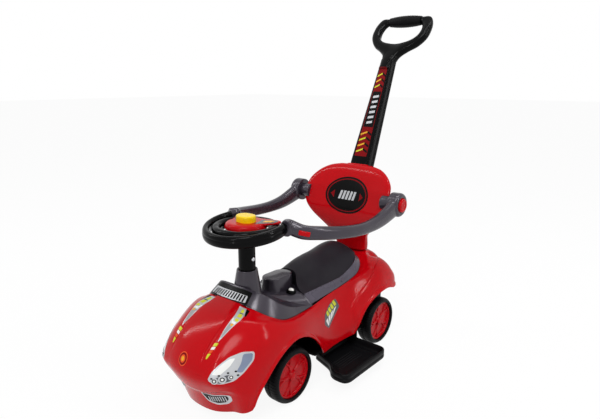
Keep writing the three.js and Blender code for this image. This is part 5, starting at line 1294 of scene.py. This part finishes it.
def horn_button(finish):
    crown = rounded([(0, BUTTON_FOOT), (0, BUTTON_TOP), (-8, BUTTON_TOP)], [0, 4.5, 0], 6)
    levels = [(0, BUTTON_FOOT), (0, BUTTON_FOOT + 6), (0, BUTTON_FOOT + 10), *crown[1:]]
    rings = [
        column_place(at_height(stadium(BUTTON_HALF_LENGTH + inset, BUTTON_HALF_WIDTH + inset), height))
        for inset, height in levels
    ]
    piece = loft("horn_button_skin", rings, sharp=50)
    return dress(piece, "horn", finish["yellow"], ["horn_button"])


def ignition(finish):
    upward = unit((0, DECK_SLOPE, 1))
    piece = lathe("ignition_ring", eased(KNOB_RING), upward, KNOB_PLACE, 64)
    dress(piece, "car", finish["black"], ["ignition_bezel"])
    piece = lathe("ignition_dome", eased(KNOB_DOME, 6), upward, KNOB_PLACE, 64, closed=False)
    return dress(piece, "ignition", finish["pale"], ["ignition_knob"])


# Guard


def hoop_place(turn):
    place = np.array([HOOP_RADIUS * math.sin(turn), -HOOP_RADIUS * math.cos(turn), 0.0])
    c, s = math.cos(HOOP_TILT), math.sin(HOOP_TILT)
    y, z = place[1], place[2]
    return np.array([place[0], y * c - z * s, z * c + y * s]) + HOOP_CENTRE


def hoop_end():
    end = hoop_place(HOOP_SPAN)
    return end, unit(end - hoop_place(HOOP_SPAN - 0.01))


def hoop_section(_):
    """A tall rounded section with a fine groove round its outer face, the same all along."""
    section = oval(HOOP_HALF_WIDTH, HOOP_HALF_HEIGHT, 0.8, 48)
    outer = smooth(-np.cos(turns_of(48)), 0.2, 0.7)
    groove = np.exp(-((section[:, 1] - HOOP_GROOVE_LIFT) / HOOP_GROOVE_WIDTH) ** 2) * outer
    section[:, 0] += HOOP_GROOVE_DEPTH * groove
    return section


def guard_hoop(finish):
    path = np.array([hoop_place(turn) for turn in np.linspace(-HOOP_SPAN, HOOP_SPAN, 180)])
    piece = loft("guard_hoop_skin", sweep_rings(path, hoop_section))
    return dress(piece, "guard", finish["black"], ["guard_hoop"])


def arm_path(count):
    end, along = hoop_end()
    out = unit(np.cross(along, (0, 0, 1)))
    start = end + out * HOOP_HALF_WIDTH * (ARM_WIDTH_SHARES[0] - 1)
    places = [np.array(share) * PIVOT for share in ARM_WAY_SHARES]
    return soft_path([start, start + along * ARM_STUB, *places], count)


def arm_section(share):
    width = HOOP_HALF_WIDTH * by_share(ARM_WIDTH_SHARES, share)
    height = HOOP_HALF_HEIGHT * by_share(ARM_HEIGHT_SHARES, share)
    collar = sum(math.exp(-(((share - place) / COLLAR_WIDTH) ** 2)) for place in COLLAR_SHARES)
    grow = 1 + COLLAR_RISE * collar
    section = oval(float(width) * grow, float(height) * grow, 0.82, 48)
    up = section[:, 1] / float(height)
    bead = np.exp(-((up - BEAD_LIFT) / BEAD_WIDTH) ** 2)
    section[:, 0] *= 1 + BEAD_RISE * bead
    return section


def guard_arms(finish):
    tube = loft("arm", sweep_rings(arm_path(150), arm_section))
    reach = ARM_BOSS_OUTER_X - ARM_BOSS_INNER_X
    profile = eased([
        (0, 0, 0), (ARM_BOSS_RADIUS, 0, 2), (ARM_BOSS_RADIUS + 0.5, reach - 5, 5),
        (ARM_BOSS_RADIUS - 5, reach, 3), (CAP_RADIUS + 1.2, reach, 0.8), (CAP_RADIUS + 0.8, reach - 3, 0.4),
        (0, reach - 3, 0),
    ])
    boss = lathe("boss", profile, (1, 0, 0), (ARM_BOSS_INNER_X, *PIVOT[1:]), closed=False)
    whole = fuse("guard_arm_left_skin", [tube, boss], 1.2, 3)
    end, along = hoop_end()
    path = np.array([end - along * distance for distance in HOOP_CUT])
    cut_away(whole, loft("cutter", sweep_rings(path, lambda share: oval(45, 45, 1, 24))))
    y, z = PIVOT[1:]
    cut_away(whole, block((80, y - 34, z - 34), (ARM_BOSS_INNER_X, y + 34, z + 34)))
    shade(whole, 50)
    for word, piece in both_sides(whole, "guard_arm_right_skin", 50):
        dress(piece, "guard", finish["gunmetal"], ["guard_arm_" + word])


def guard_caps(finish):
    profile = eased([
        (0, -2.7, 0), (CAP_RADIUS, -2.7, 0.5), (CAP_RADIUS, 3.5, 2), (CAP_RADIUS - 3.5, 6, 2), (11, 6, 1),
        (9.5, 4.6, 1), (3, 4.6, 0.6), (2, 5.6, 0.6), (0, 5.6, 0),
    ])
    for side, word in SIDES:
        place = (side * ARM_BOSS_OUTER_X, *PIVOT[1:])
        piece = lathe("guard_cap_" + word + "_skin", profile, (side, 0, 0), place, 72, closed=False)
        dress(piece, "guard", finish["red"], ["guard_cap_" + word])


def guard_latches(finish):
    for _, word in SIDES:
        piece = copy_of("guard_latch_" + word)
        change(piece, ("BEVEL", {"width": LATCH_BEVEL * MM, "segments": 4, "limit_method": "ANGLE"}))
        shade(piece, 60)
        dress(piece, "latch_" + word, finish["red"], ["guard_latch_" + word])


# Push handle


def push_handle(finish):
    rings = []
    for distance in [*np.linspace(0.3, POLE_PRISM, 6), *np.linspace(POLE_PRISM, POLE_LENGTH, 20)[1:]]:
        share = max(distance - POLE_PRISM, 0) / (POLE_LENGTH - POLE_PRISM)
        half_x, half_y = (lerp(foot, top, share) for foot, top in zip(POLE_FOOT_HALF, POLE_TOP_HALF))
        quarter = [
            (0, half_y), (half_x - 5, half_y), (half_x - 3.5, half_y - 1.2), (half_x, half_y - 5.5),
            (half_x, 5.5), (half_x - 1.6, 4.2), (half_x - 1.6, 0),
        ]
        side = quarter + [(x, -y) for x, y in quarter[-2::-1]]
        outline = rounded(side + [(-x, y) for x, y in side[-2:0:-1]], 1.0, 2, True)
        rings.append(lean_with_pole(at_height(outline, distance)))
    pole = loft("push_handle_pole", rings, sharp=30)
    whole = join("push_handle_skin", [pole, grip_frame()])
    shade(whole, 40)
    return dress(whole, "handle", finish["black"], ["push_handle"])


def grip_place(points):
    """From the grip's own frame, across, through and along it, to the car."""
    top = lean_with_pole(np.array([[0, 0, POLE_LENGTH]]))[0]
    x, y, v = np.moveaxis(np.asarray(points, float), -1, 0)
    c, s = math.cos(GRIP_LEAN), math.sin(GRIP_LEAN)
    return np.stack([x, y * c + v * s, v * c - y * s], axis=-1) + top


def grip_frame():
    pairs = np.array(GRIP_PAIRS, float)
    places = soft_path(np.hstack([pairs, np.zeros((len(pairs), 2))]), 90)
    both = np.vstack([places[:0:-1] * (-1, 1, -1, 1, 1, 1), places])
    rings = []
    for hole_x, hole_v, rim_x, rim_v in both[:, :4]:
        hole, rim = np.array([hole_x, 0, hole_v]), np.array([rim_x, 0, rim_v])
        half = np.linalg.norm(rim - hole) / 2
        flat = GRIP_HALF_DEPTH + (GRIP_BAR_HALF_DEPTH - GRIP_HALF_DEPTH) * smooth(hole_v, *GRIP_SLIM_SPAN)
        ring = oval(half, float(flat), 0.8, 40)
        rings.append((rim + hole) / 2 + ring[:, :1] * unit(rim - hole) + ring[:, 1:] * (0, 1, 0))
    round_bar = oval(8.5, 8.5, 1, 32) + (0, GRIP_BAR_LIFT)
    bar_rings = [np.column_stack([np.full(32, x), round_bar]) for x in np.linspace(-56, 56, 8)]
    throat_rings = [at_height(oval(half, deep, 0.7, 40), lift) for lift, half, deep in THROAT]
    parts = (("grip_frame", rings), ("bar", bar_rings), ("throat", throat_rings))
    return fuse("grip", [loft(name, grip_place(part)) for name, part in parts], 1.5, 8)


def grip_sleeve(finish):
    half = GRIP_BAR_HALF_LENGTH - 0.3
    shares = np.linspace(-1, 1, 49)
    ridge = SLEEVE_RIDGE * np.cos(shares * math.pi * SLEEVE_RIDGES) * (np.abs(shares) < SLEEVE_RIDGED_SHARE)
    radius = SLEEVE_RADIUS + SLEEVE_SWELL * (1 - shares ** 2) + ridge
    profile = [(SLEEVE_BORE, -half), *zip(radius, shares * half), (SLEEVE_BORE, half)]
    axle = grip_place([(0, 0, GRIP_BAR_LIFT)])[0]
    piece = lathe("grip_sleeve_skin", profile, (1, 0, 0), axle, 64)
    return dress(piece, "handle", finish["satin"], ["grip_sleeve"])


# Footrests


def footrest_outline(inset):
    """The tray's outline in plan, drawn in by a distance all round."""
    front, rear = FOOTREST_FRONT, FOOTREST_FRONT + FOOTREST_LENGTH
    corners = np.array([
        (FOOTREST_INNER_X, front + 48), (138, front + 26), (160, front), (FOOTREST_OUTER_X, front),
        (FOOTREST_OUTER_X, rear), (FOOTREST_INNER_X, rear),
    ], float)
    turned = np.array([[0, 1], [-1, 0]])
    before = unit(corners - np.roll(corners, 1, axis=0)) @ turned
    after = unit(np.roll(corners, -1, axis=0) - corners) @ turned
    shift = (before + after) / (1 + np.sum(before * after, axis=1, keepdims=True))
    big = FOOTREST_CORNER - min(inset, 14)
    return rounded(corners + inset * shift, [2, 16, 16, big, big, 2], 9, True)


def footrest(finish):
    low, high = FOOTREST_BOTTOM, FOOTREST_BOTTOM + FOOTREST_HEIGHT
    levels = [
        (6, low), (1, low), (0, low + 1.5), (0, low + 8), (0.8, low + 9), (0.8, low + 10.5), (0, low + 11.5),
        (0, high - 2.5), (0.8, high - 0.8), (2.5, high), (4.2, high - 0.6), (5.6, high - 2.6),
        (7.5, high - 9), (8.5, low + 7), (10.5, low + 5), (14, low + 4.6), (19, low + 4.4),
        (22, low + 5.6), (25, low + 4.4), (29, low + 4.4),
    ]
    rings = [at_height(footrest_outline(inset), z) for inset, z in levels]
    tray = loft("footrest_left_skin", rings, sharp=40)

    def ridge_section(share):
        return oval(2, 1.4 * math.sin(math.pi * min(max(share, 0.03), 0.97)) ** 0.3, 1, 16)

    ridges = []
    span = (FOOTREST_FRONT + RIDGE_END_GAP, FOOTREST_FRONT + FOOTREST_LENGTH - RIDGE_END_GAP)
    for k in range(RIDGE_COUNT):
        x = lerp(FOOTREST_INNER_X + RIDGE_SIDE_GAP, FOOTREST_OUTER_X - RIDGE_SIDE_GAP, k / (RIDGE_COUNT - 1))
        path = np.array([(x, y, low + 4.2) for y in np.linspace(*span, 12)])
        ridges.append(loft("bar", sweep_rings(path, ridge_section)))
    whole = join("footrest_left_skin", [tray, *ridges])
    shade(whole, 40)
    for word, piece in both_sides(whole, "footrest_right_skin", 40):
        dress(piece, "footrest_" + word, finish["satin"], ["footrest_" + word])


def chassis(finish):
    """The chassis plate without the front ends of its two footrest rails, which the trays' corners cover."""
    piece = copy_of("chassis_plate")
    for side in (-1, 1):
        near, far = sorted(side * x for x in RAIL_CUT_X)
        cut_away(piece, block((near, RAIL_CUT_Y[0], RAIL_CUT_Z[0]), (far, RAIL_CUT_Y[1], RAIL_CUT_Z[1])))
    shade(piece, 40)
    return dress(piece, "car", finish["satin"], ["chassis_plate"])


# Prints


def surface_of(piece):
    mesh = piece.data
    return BVHTree.FromPolygons([v.co for v in mesh.vertices], [p.vertices for p in mesh.polygons])


def spaced(outline, step):
    """The outline with places added so that none lie further apart than a step."""
    path = []
    for start, end in zip(outline, np.roll(outline, -1, axis=0)):
        parts = max(1, math.ceil(np.linalg.norm(end - start) / step))
        path += [lerp(start, end, k / parts) for k in range(parts)]
    return np.array(path)


def inside(outline, places):
    """Which places lie inside a flat outline."""
    result = np.zeros(len(places), bool)
    x, y = places.T
    for a, b in zip(outline, np.roll(outline, -1, axis=0)):
        crosses = (a[1] > y) != (b[1] > y)
        rise = np.where(b[1] == a[1], 1, b[1] - a[1])
        result ^= crosses & (x < (b[0] - a[0]) * (y - a[1]) / rise + a[0])
    return result


def sticker(ground, way, outline, lift=0.3, radius=1.0, step=3.0):
    """A thin patch with a given outline, laid onto the ground along a way."""
    out = unit(way)
    side = unit(np.cross((0, 0, 1) if abs(out[2]) < 0.9 else (0, 1, 0), out))
    up = np.cross(out, side)
    outline = np.asarray(outline, float)
    flat = np.stack([outline @ side, outline @ up], axis=1)
    flat = spaced(rounded(flat, radius, 3, True), step)
    low, high = flat.min(0), flat.max(0)
    grid = np.stack(np.meshgrid(*(np.arange(a + step / 2, b, step) for a, b in zip(low, high))), axis=-1)
    grid = grid.reshape(-1, 2)
    grid = grid[inside(flat, grid)]
    if len(grid):
        gaps = np.linalg.norm(grid[:, None] - flat[None], axis=2).min(axis=1)
        grid = grid[gaps > step * 0.4]
    places = [Vector(p) for p in np.vstack([flat, grid])]
    filled = delaunay_2d_cdt(places, [], [list(range(len(flat)))], 1, 1e-6)
    points = []
    for u, v in filled[0]:
        start = side * u + up * v + out * ((outline @ out).max() + STICKER_REACH)
        hit, normal = ground.ray_cast(Vector(metres(start)), Vector(-out))[:2]
        if hit is None:
            hit, normal = ground.find_nearest(Vector(metres(start - out * STICKER_REACH)))[:2]
        points.append(np.array(hit + normal * lift * MM) / MM - ORIGIN)
    patch = mesh_object("patch", points, filled[2], 60)
    if np.dot(patch.data.polygons[0].normal, out) < 0:
        patch.data.flip_normals()
    change(patch, ("SOLIDIFY", {"thickness": STICKER_THICKNESS * MM, "offset": -1}))
    return patch


def ring_outline(centre, side, up, half_width, half_height, count=40):
    turns = turns_of(count)
    across, rise = np.outer(half_width * np.cos(turns), side), np.outer(half_height * np.sin(turns), up)
    return np.asarray(centre) + across + rise


def bars(corners, count, gap, slant=0.0, first=0.0, last=1.0):
    """Slanted bars side by side within a four-cornered patch, from its first to its second corner."""
    a, b, c, d = (np.asarray(corner, float) for corner in corners)
    result = []
    for k in range(count):
        start = lerp(first, last, (k + gap / 2) / count)
        end = lerp(first, last, (k + 1 - gap / 2) / count)
        near = [lerp(a, b, start), lerp(a, b, end)]
        result.append(near + [lerp(d, c, end + slant), lerp(d, c, start + slant)])
    return result


class Prints:
    """Stickers of one body, gathered by finish, each pair laid on both sides of the car."""

    def __init__(self, body, ground, finish):
        self.body, self.ground, self.finish = body, ground, finish
        self.patches = {}

    def add(self, finish, way, outline, lift=0.3, radius=1.0, step=3.0, both=False):
        patches = self.patches.setdefault(finish, [])
        patches.append(sticker(self.ground, way, outline, lift, radius, step))
        if both:
            other = sticker(self.ground, way * MIRROR, np.asarray(outline) * MIRROR, lift, radius, step)
            patches.append(other)

    def add_all(self, way, rows, place=np.array, both=False):
        """Lays rows of (finish, lift, easing, corners), with a function that turns corners into places."""
        for finish, lift, radius, corners in rows:
            self.add(finish, way, place(corners), lift, radius, both=both)

    def place(self, name, slot):
        for finish, patches in self.patches.items():
            piece = join(name + "_" + finish, patches)
            shade(piece, 40)
            dress(piece, self.body, self.finish[finish])


def on_body(corners):
    """Places on the body's net, given as (rib, row)."""
    ribs, rows = np.array(corners, float).T
    return net_place(ribs, rows)


HOOD_WAY = np.array([0.25, -0.6, 0.76])
# Each row of a table of prints holds a finish, its lift, the easing of its corners and its corners.
# On the body these are given as (rib, row).
HOOD_PRINTS = [
    ("foil", 0.25, 1, [(0.86, 0.1), (1.34, 0.1), (1.64, 0.5), (1.68, 0.85), (1.56, 1.2), (1.46, 1.5),
                       (1.38, 1.78), (1.28, 2.02), (1.18, 1.5), (1.08, 0.68)]),
    ("print_grey", 0.45, 1, [(1.2, 1.1), (1.5, 1.2), (1.42, 1.48), (1.35, 1.72), (1.28, 1.92), (1.2, 1.48)]),
    ("print_black", 0.45, 1, [(1.36, 0.12), (1.66, 0.16), (1.78, 0.6), (1.66, 0.56)]),
    ("print_lime", 0.5, 1, [(1.12, 0.2), (1.32, 0.22), (1.44, 0.42), (1.2, 0.42)]),
    ("print_lime", 0.5, 1, [(1.2, 0.5), (1.5, 0.52), (1.6, 0.74), (1.28, 0.72)]),
    ("print_lime", 0.5, 1, [(1.32, 0.8), (1.6, 0.86), (1.58, 1.0), (1.34, 0.94)]),
    ("print_black", 0.55, 1, [(1.2, 0.44), (1.5, 0.46), (1.52, 0.5), (1.2, 0.48)]),
    ("print_white", 0.55, 1, [(1.16, 0.78), (1.3, 0.98), (1.56, 1.04), (1.54, 1.14), (1.28, 1.08),
                              (1.14, 0.9)]),
    ("print_amber", 0.6, 1, [(1.32, 1.12), (1.5, 1.14), (1.47, 1.25), (1.34, 1.23)]),
    ("print_lime", 0.5, 1, [(1.14, 2.08), (1.36, 2.05), (1.34, 2.2), (1.14, 2.24)]),
    ("print_white", 0.5, 1, [(1.13, 2.27), (1.33, 2.23), (1.31, 2.36), (1.12, 2.4)]),
    ("print_orange", 0.5, 1, [(1.12, 2.43), (1.3, 2.39), (1.27, 2.52), (1.11, 2.56)]),
    ("print_lime", 0.5, 1, [(1.11, 2.6), (1.26, 2.56), (1.18, 2.84), (1.12, 2.84)]),
]
LAMP_WAY = np.array([0.62, -0.72, 0.3])
LAMP_ACROSS = (0.75, 0.66, 0)
LAMP_PRINTS = [
    ("foil", 0.35, 6, [(1.46, 3.88), (1.58, 3.4), (1.75, 3.02), (2.08, 2.6), (2.46, 2.5), (2.84, 2.72),
                       (2.88, 3.2), (2.66, 3.7), (2.42, 4.06), (2.05, 4.15), (1.68, 4.02)]),
    ("print_white", 0.6, 4, [(1.62, 3.5), (1.84, 3.0), (2.1, 2.7), (2.3, 2.72), (2.2, 3.1), (1.95, 3.5)]),
    ("foil_blue", 0.6, 4, [(2.5, 2.62), (2.8, 2.78), (2.82, 3.15), (2.6, 3.66), (2.44, 3.5), (2.52, 3.1)]),
    ("foil_dark", 0.6, 5, [(1.62, 3.86), (1.9, 3.6), (2.3, 3.55), (2.42, 3.78), (2.32, 4.0), (2.02, 4.06),
                           (1.74, 3.98)]),
]
# Rib, row and half width of the rings in the lamps, then rib and row of their dots.
LAMP_RINGS = [(1.78, 3.86, 7.5), (2.06, 3.78, 8.5), (2.32, 3.74, 6.5)]
LAMP_DOTS = [(1.92, 3.52), (2.2, 3.44), (2.42, 3.46), (1.66, 3.72), (2.5, 3.72)]
# Finish, share of the half width, and lift of each ring in a lamp.
LAMP_RING_PRINTS = [("foil", 1, 0.85), ("print_black", 0.6, 1.1), ("print_white", 0.34, 1.35)]
# Finish, radius and lift of each ring of the nose badge.
BADGE_RINGS = [("print_orange", 12.5, 0.3), ("deep_red", 10.6, 0.5), ("print_orange", 7, 0.7),
               ("print_amber", 4, 0.9)]
GRILLE_WAY = np.array([0.25, -0.96, 0.05])
GRILLE_PRINTS = [
    ("foil", 0.3, 5, [(0.6, 5.78), (0.68, 6.15), (0.86, 6.46), (1.4, 6.6), (1.94, 6.54), (2.2, 6.3),
                      (2.16, 5.98), (1.8, 5.98), (1.3, 5.98)]),
    ("print_black", 0.6, 4, [(0.68, 5.86), (0.76, 6.14), (0.92, 6.38), (1.4, 6.5), (1.86, 6.45), (2.04, 6.26),
                             (2.0, 6.06), (1.7, 6.06), (1.2, 6.04)]),
]
SIDE_WAY = np.array([1, 0, 0.1])
SIDE_PRINT_X = 110
SIDE_PATCH = [(197, 182), (206, 160), (178, 138), (152, 120), (134, 136), (140, 158), (168, 176)]
SIDE_BARS = [
    ("print_lime", [(146, 160), (190, 182), (196, 168), (150, 148)], 0.04),
    ("print_white", [(140, 142), (196, 164), (176, 144), (150, 126)], 0.0),
]
SCREEN_WAY = np.array([0, -0.75, 0.66])
SCREEN_PRINTS = [
    ("print_black", 0.3, 2, [(-84, -60, 232), (-78, -66, 236), (-40, -77, 243), (0, -80, 244), (34, -78, 243),
                             (52, -75, 242), (49, -52, 263), (30, -55, 267), (0, -57, 268), (-30, -55, 267),
                             (-64, -46, 262)]),
    ("foil", 0.6, 1.5, [(-66, -71, 244), (-30, -80, 247), (8, -82, 249), (46, -75, 248), (43, -62, 258),
                        (8, -68, 262), (-30, -66, 260), (-61, -56, 255)]),
]
SCREEN_BARS = [(-60, -76, 245.5), (42, -77, 249.5), (39, -64, 258.5), (-56, -64, 254.5)]
WING_PRINTS = [
    ("foil_dark", 0.3, [(30, -6), (44, 8), (58, 28), (60, 40), (52, 48), (38, 42), (20, 30), (26, 16)]),
    ("print_amber", 0.6, [(36, 14), (50, 26), (53, 38), (44, 38), (32, 28)]),
]


def hood_prints(prints):
    prints.add_all(HOOD_WAY, HOOD_PRINTS, on_body, True)


def nose_prints(prints):
    prints.add_all(LAMP_WAY, LAMP_PRINTS, on_body, True)
    for rib, row, half in LAMP_RINGS:
        centre = net_place(rib, row)
        for finish, share, lift in LAMP_RING_PRINTS:
            outline = ring_outline(centre, LAMP_ACROSS, (0, 0, 1), half * share, half * share * 0.9)
            prints.add(finish, LAMP_WAY, outline, lift, 0, 2, True)
    for rib, row in LAMP_DOTS:
        outline = ring_outline(net_place(rib, row), LAMP_ACROSS, (0, 0, 1), 2.6, 1.8)
        prints.add("print_black", LAMP_WAY, outline, 0.85, 0, 2, True)
    prints.add_all(GRILLE_WAY, GRILLE_PRINTS, on_body, True)
    for k in range(8):
        rib = 0.98 + k * 0.125
        strip = [(rib, 6.1), (rib + 0.05, 6.1), (rib + 0.09, 6.4), (rib + 0.04, 6.4)]
        prints.add("foil", GRILLE_WAY, on_body(strip), 0.9, 0.3, 2, True)
    badge = net_place(0, 3.25)
    for finish, radius, lift in BADGE_RINGS:
        outline = ring_outline(badge, (1, 0, 0), (0, 0.54, 0.84), radius, radius * 1.2)
        prints.add(finish, (0, -0.84, 0.54), outline, lift, 0)


def side_prints(prints):
    def at_side(corners):
        return [(SIDE_PRINT_X, y, z) for y, z in corners]

    prints.add("foil_dark", SIDE_WAY, at_side(SIDE_PATCH), 0.3, 4, both=True)
    for finish, corners, slant in SIDE_BARS:
        for strip in bars(at_side(corners), 4, 0.3, slant):
            prints.add(finish, SIDE_WAY, strip, 0.55, 0.6, both=True)


def windscreen_prints(prints):
    prints.add_all(SCREEN_WAY, SCREEN_PRINTS)
    for strip in bars(SCREEN_BARS, 12, 0.45, 0.02):
        prints.add("print_black", SCREEN_WAY, strip, 0.85, 0.4)


def backrest_prints(prints):
    way = (0, -1, 0.1)
    centre = np.array([2, 378, 405])

    def flat(outline):
        return [centre + (x, 0, z) for x, z in outline]

    for finish, wide, tall, lift in (("print_black", 71, 51, 0.3), ("deep_red", 66, 46, 0.55),
                                     ("print_black", 62, 43, 0.8)):
        prints.add(finish, way, ring_outline(centre, (1, 0, 0), (0, 0, 1), wide, tall), lift, 0)
    for strip in bars(flat([(-30, -12), (26, -12), (32, 12), (-24, 12)]), 5, 0.35):
        prints.add("foil", way, strip, 1.05, 0.6)
    for side in (-1, 1):
        prints.add("deep_red", way, flat([(side * 54, 0), (side * 42, 11), (side * 42, -11)]), 1.05, 1)


def pole_prints(prints):
    way = (0, -math.cos(POLE_LEAN), math.sin(POLE_LEAN))

    def lay(finish, lift, radius, corners):
        outline = [lean_with_pole(np.array([x, -POLE_FOOT_HALF[1], distance])) for x, distance in corners]
        prints.add(finish, way, outline, lift, radius)

    lay("deep_red", 0.3, 3, [(-20, 118), (20, 118), (12.5, 385), (-12.5, 385)])
    for low, count in ((128, 4), (322, 3)):
        for k in range(count):
            start, half = low + k * 17, lerp(18, 11.5, (low - 118) / 267)
            lay(("print_lime", "print_amber")[k % 2], 0.55, 0.8,
                [(-half, start), (half * 0.2, start + 9), (half * 0.2, start + 14), (-half, start + 5)])
            lay("print_black", 0.55, 0.8,
                [(half * 0.1, start + 9), (half, start), (half, start + 6), (half * 0.1, start + 15)])
    lay("print_black", 0.55, 2, [(-16, 205), (16, 205), (13, 312), (-13, 312)])
    for k in range(6):
        start = 214 + k * 15.5
        lay("foil", 0.8, 0.8, [(-9, start), (9, start + 3), (9, start + 10), (-9, start + 7)])


def pod_prints(prints):
    for side in (-1, 1):
        for finish, lift, shape in WING_PRINTS:
            prints.add(finish, (0, 0, 1), column_place([(side * x, y, POD_TOP) for x, y in shape]), lift, 3)


# Studio


def backdrop_share(tree, share=1.0):
    """A value that is a share for rays that should meet the white backdrop, and zero for the rest."""
    seen = add_node(tree, "LightPath").outputs
    total = seen["Is Camera Ray"]
    steps = (
        ("MAXIMUM", seen["Is Glossy Ray"]), ("MAXIMUM", seen["Is Transmission Ray"]),
        ("MULTIPLY", share),
    )
    for operation, value in steps:
        sum_node = add_node(tree, "Math")
        sum_node.operation = operation
        plug(tree, sum_node.inputs[0], total)
        plug(tree, sum_node.inputs[1], value)
        total = sum_node.outputs["Value"]
    return total


def mixed(tree, share, first, second):
    """The output of a shader that blends two others."""
    blend = add_node(tree, "MixShader", Fac=share)
    plug(tree, blend.inputs[1], first)
    plug(tree, blend.inputs[2], second)
    return blend.outputs["Shader"]


def floor_finish():
    """White paper that still takes the shadow of the car."""
    finish = plastic("pale_floor", (0.93, 0.93, 0.93), 0.9, bump=0, mottle=0.01, specular=0)
    tree = finish.node_tree
    paper = tree.nodes["Principled BSDF"].outputs["BSDF"]
    white = add_node(tree, "Emission", Color=WHITE).outputs["Emission"]
    surface = mixed(tree, backdrop_share(tree, FLOOR_WHITE), paper, white)
    plug(tree, tree.nodes["Material Output"].inputs["Surface"], surface)
    return finish


def studio():
    world = bpy.context.scene.world or bpy.data.worlds.new("studio")
    bpy.context.scene.world = world
    world.use_nodes = True
    tree = world.node_tree
    tree.nodes.clear()
    soft, white = (
        add_node(tree, "Background", Color=WHITE, Strength=strength).outputs["Background"]
        for strength in (WORLD_LIGHT, 1)
    )
    add_node(tree, "OutputWorld", Surface=mixed(tree, backdrop_share(tree), soft, white))
    mesh = bpy.data.meshes.new("floor")
    half = FLOOR_SIZE / 2
    corners = [(-half, -half, 0), (half, -half, 0), (half, half, 0), (-half, half, 0)]
    mesh.from_pydata(corners, [], [(0, 1, 2, 3)])
    floor = placed("floor", mesh)
    mesh.materials.append(floor_finish())
    for name, place, size, power in LAMPS:
        lamp = bpy.data.lights.new(name, "AREA")
        lamp.shape = "RECTANGLE"
        lamp.size, lamp.size_y = size
        lamp.energy = power
        holder = placed(name, lamp)
        holder.location = place
        holder.rotation_euler = (Vector(LAMP_AIM) - Vector(place)).to_track_quat("-Z", "Y").to_euler()
    sun = bpy.data.lights.new("sun", "SUN")
    sun.energy, sun.angle = SUN_STRENGTH, SUN_SPREAD
    placed("sun", sun).rotation_euler = Vector(SUN_FROM).to_track_quat("Z", "Y").to_euler()
    bpy.context.scene.view_settings.view_transform = "Standard"


def camera():
    base = Vector(ORIGIN * MM)
    lens = bpy.data.cameras.new("camera")
    lens.lens, lens.sensor_width, lens.sensor_fit = LENS, SENSOR, "HORIZONTAL"
    holder = placed("camera", lens)
    holder.location = base + Vector(CAMERA_FROM_AXLE)
    aim = base + Vector(CAMERA_TARGET_FROM_AXLE) - holder.location
    holder.rotation_euler = aim.to_track_quat("-Z", "Y").to_euler()
    bpy.context.scene.camera = holder


FINISH_OF_SLOT = {
    "red_shell": "red", "black_gloss": "black", "black_plastic": "satin", "tyre_black": "tyre",
    "gunmetal": "gunmetal", "silver_trim": "silver", "charcoal_seat": "charcoal", "yellow_button": "yellow",
    "pale_dome": "pale", "steel": "steel",
}


def main():
    finish = make_finishes()
    for part in frame["record"]["subparts"]:
        node = frame["nodes"][part["node"]]
        for index in range(len(node.data.materials)):
            node.data.materials[index] = finish[FINISH_OF_SLOT[part["material_slot"]]]
    shell = body_shell(finish)
    deck = dashboard(finish)
    seat_lid(finish)
    seat_trim(finish)
    rest = backrest(finish)
    wheels(finish)
    steering_wheel(finish)
    neck(finish)
    pod = horn_pod(finish)
    horn_button(finish)
    ignition(finish)
    guard_hoop(finish)
    guard_arms(finish)
    guard_caps(finish)
    guard_latches(finish)
    pole = push_handle(finish)
    grip_sleeve(finish)
    footrest(finish)
    chassis(finish)

    shell_prints = Prints("car", surface_of(shell), finish)
    hood_prints(shell_prints)
    nose_prints(shell_prints)
    side_prints(shell_prints)
    shell_prints.place("body_print", "red_shell")
    for name, body, piece, draw, slot in (
        ("windscreen_print", "car", deck, windscreen_prints, "gunmetal"),
        ("backrest_print", "car", rest, backrest_prints, "red_shell"),
        ("pole_print", "handle", pole, pole_prints, "black_gloss"),
        ("pod_print", "steering_column", pod, pod_prints, "red_shell"),
    ):
        prints = Prints(body, surface_of(piece), finish)
        draw(prints)
        prints.place(name, slot)
    studio()
    camera()


main()
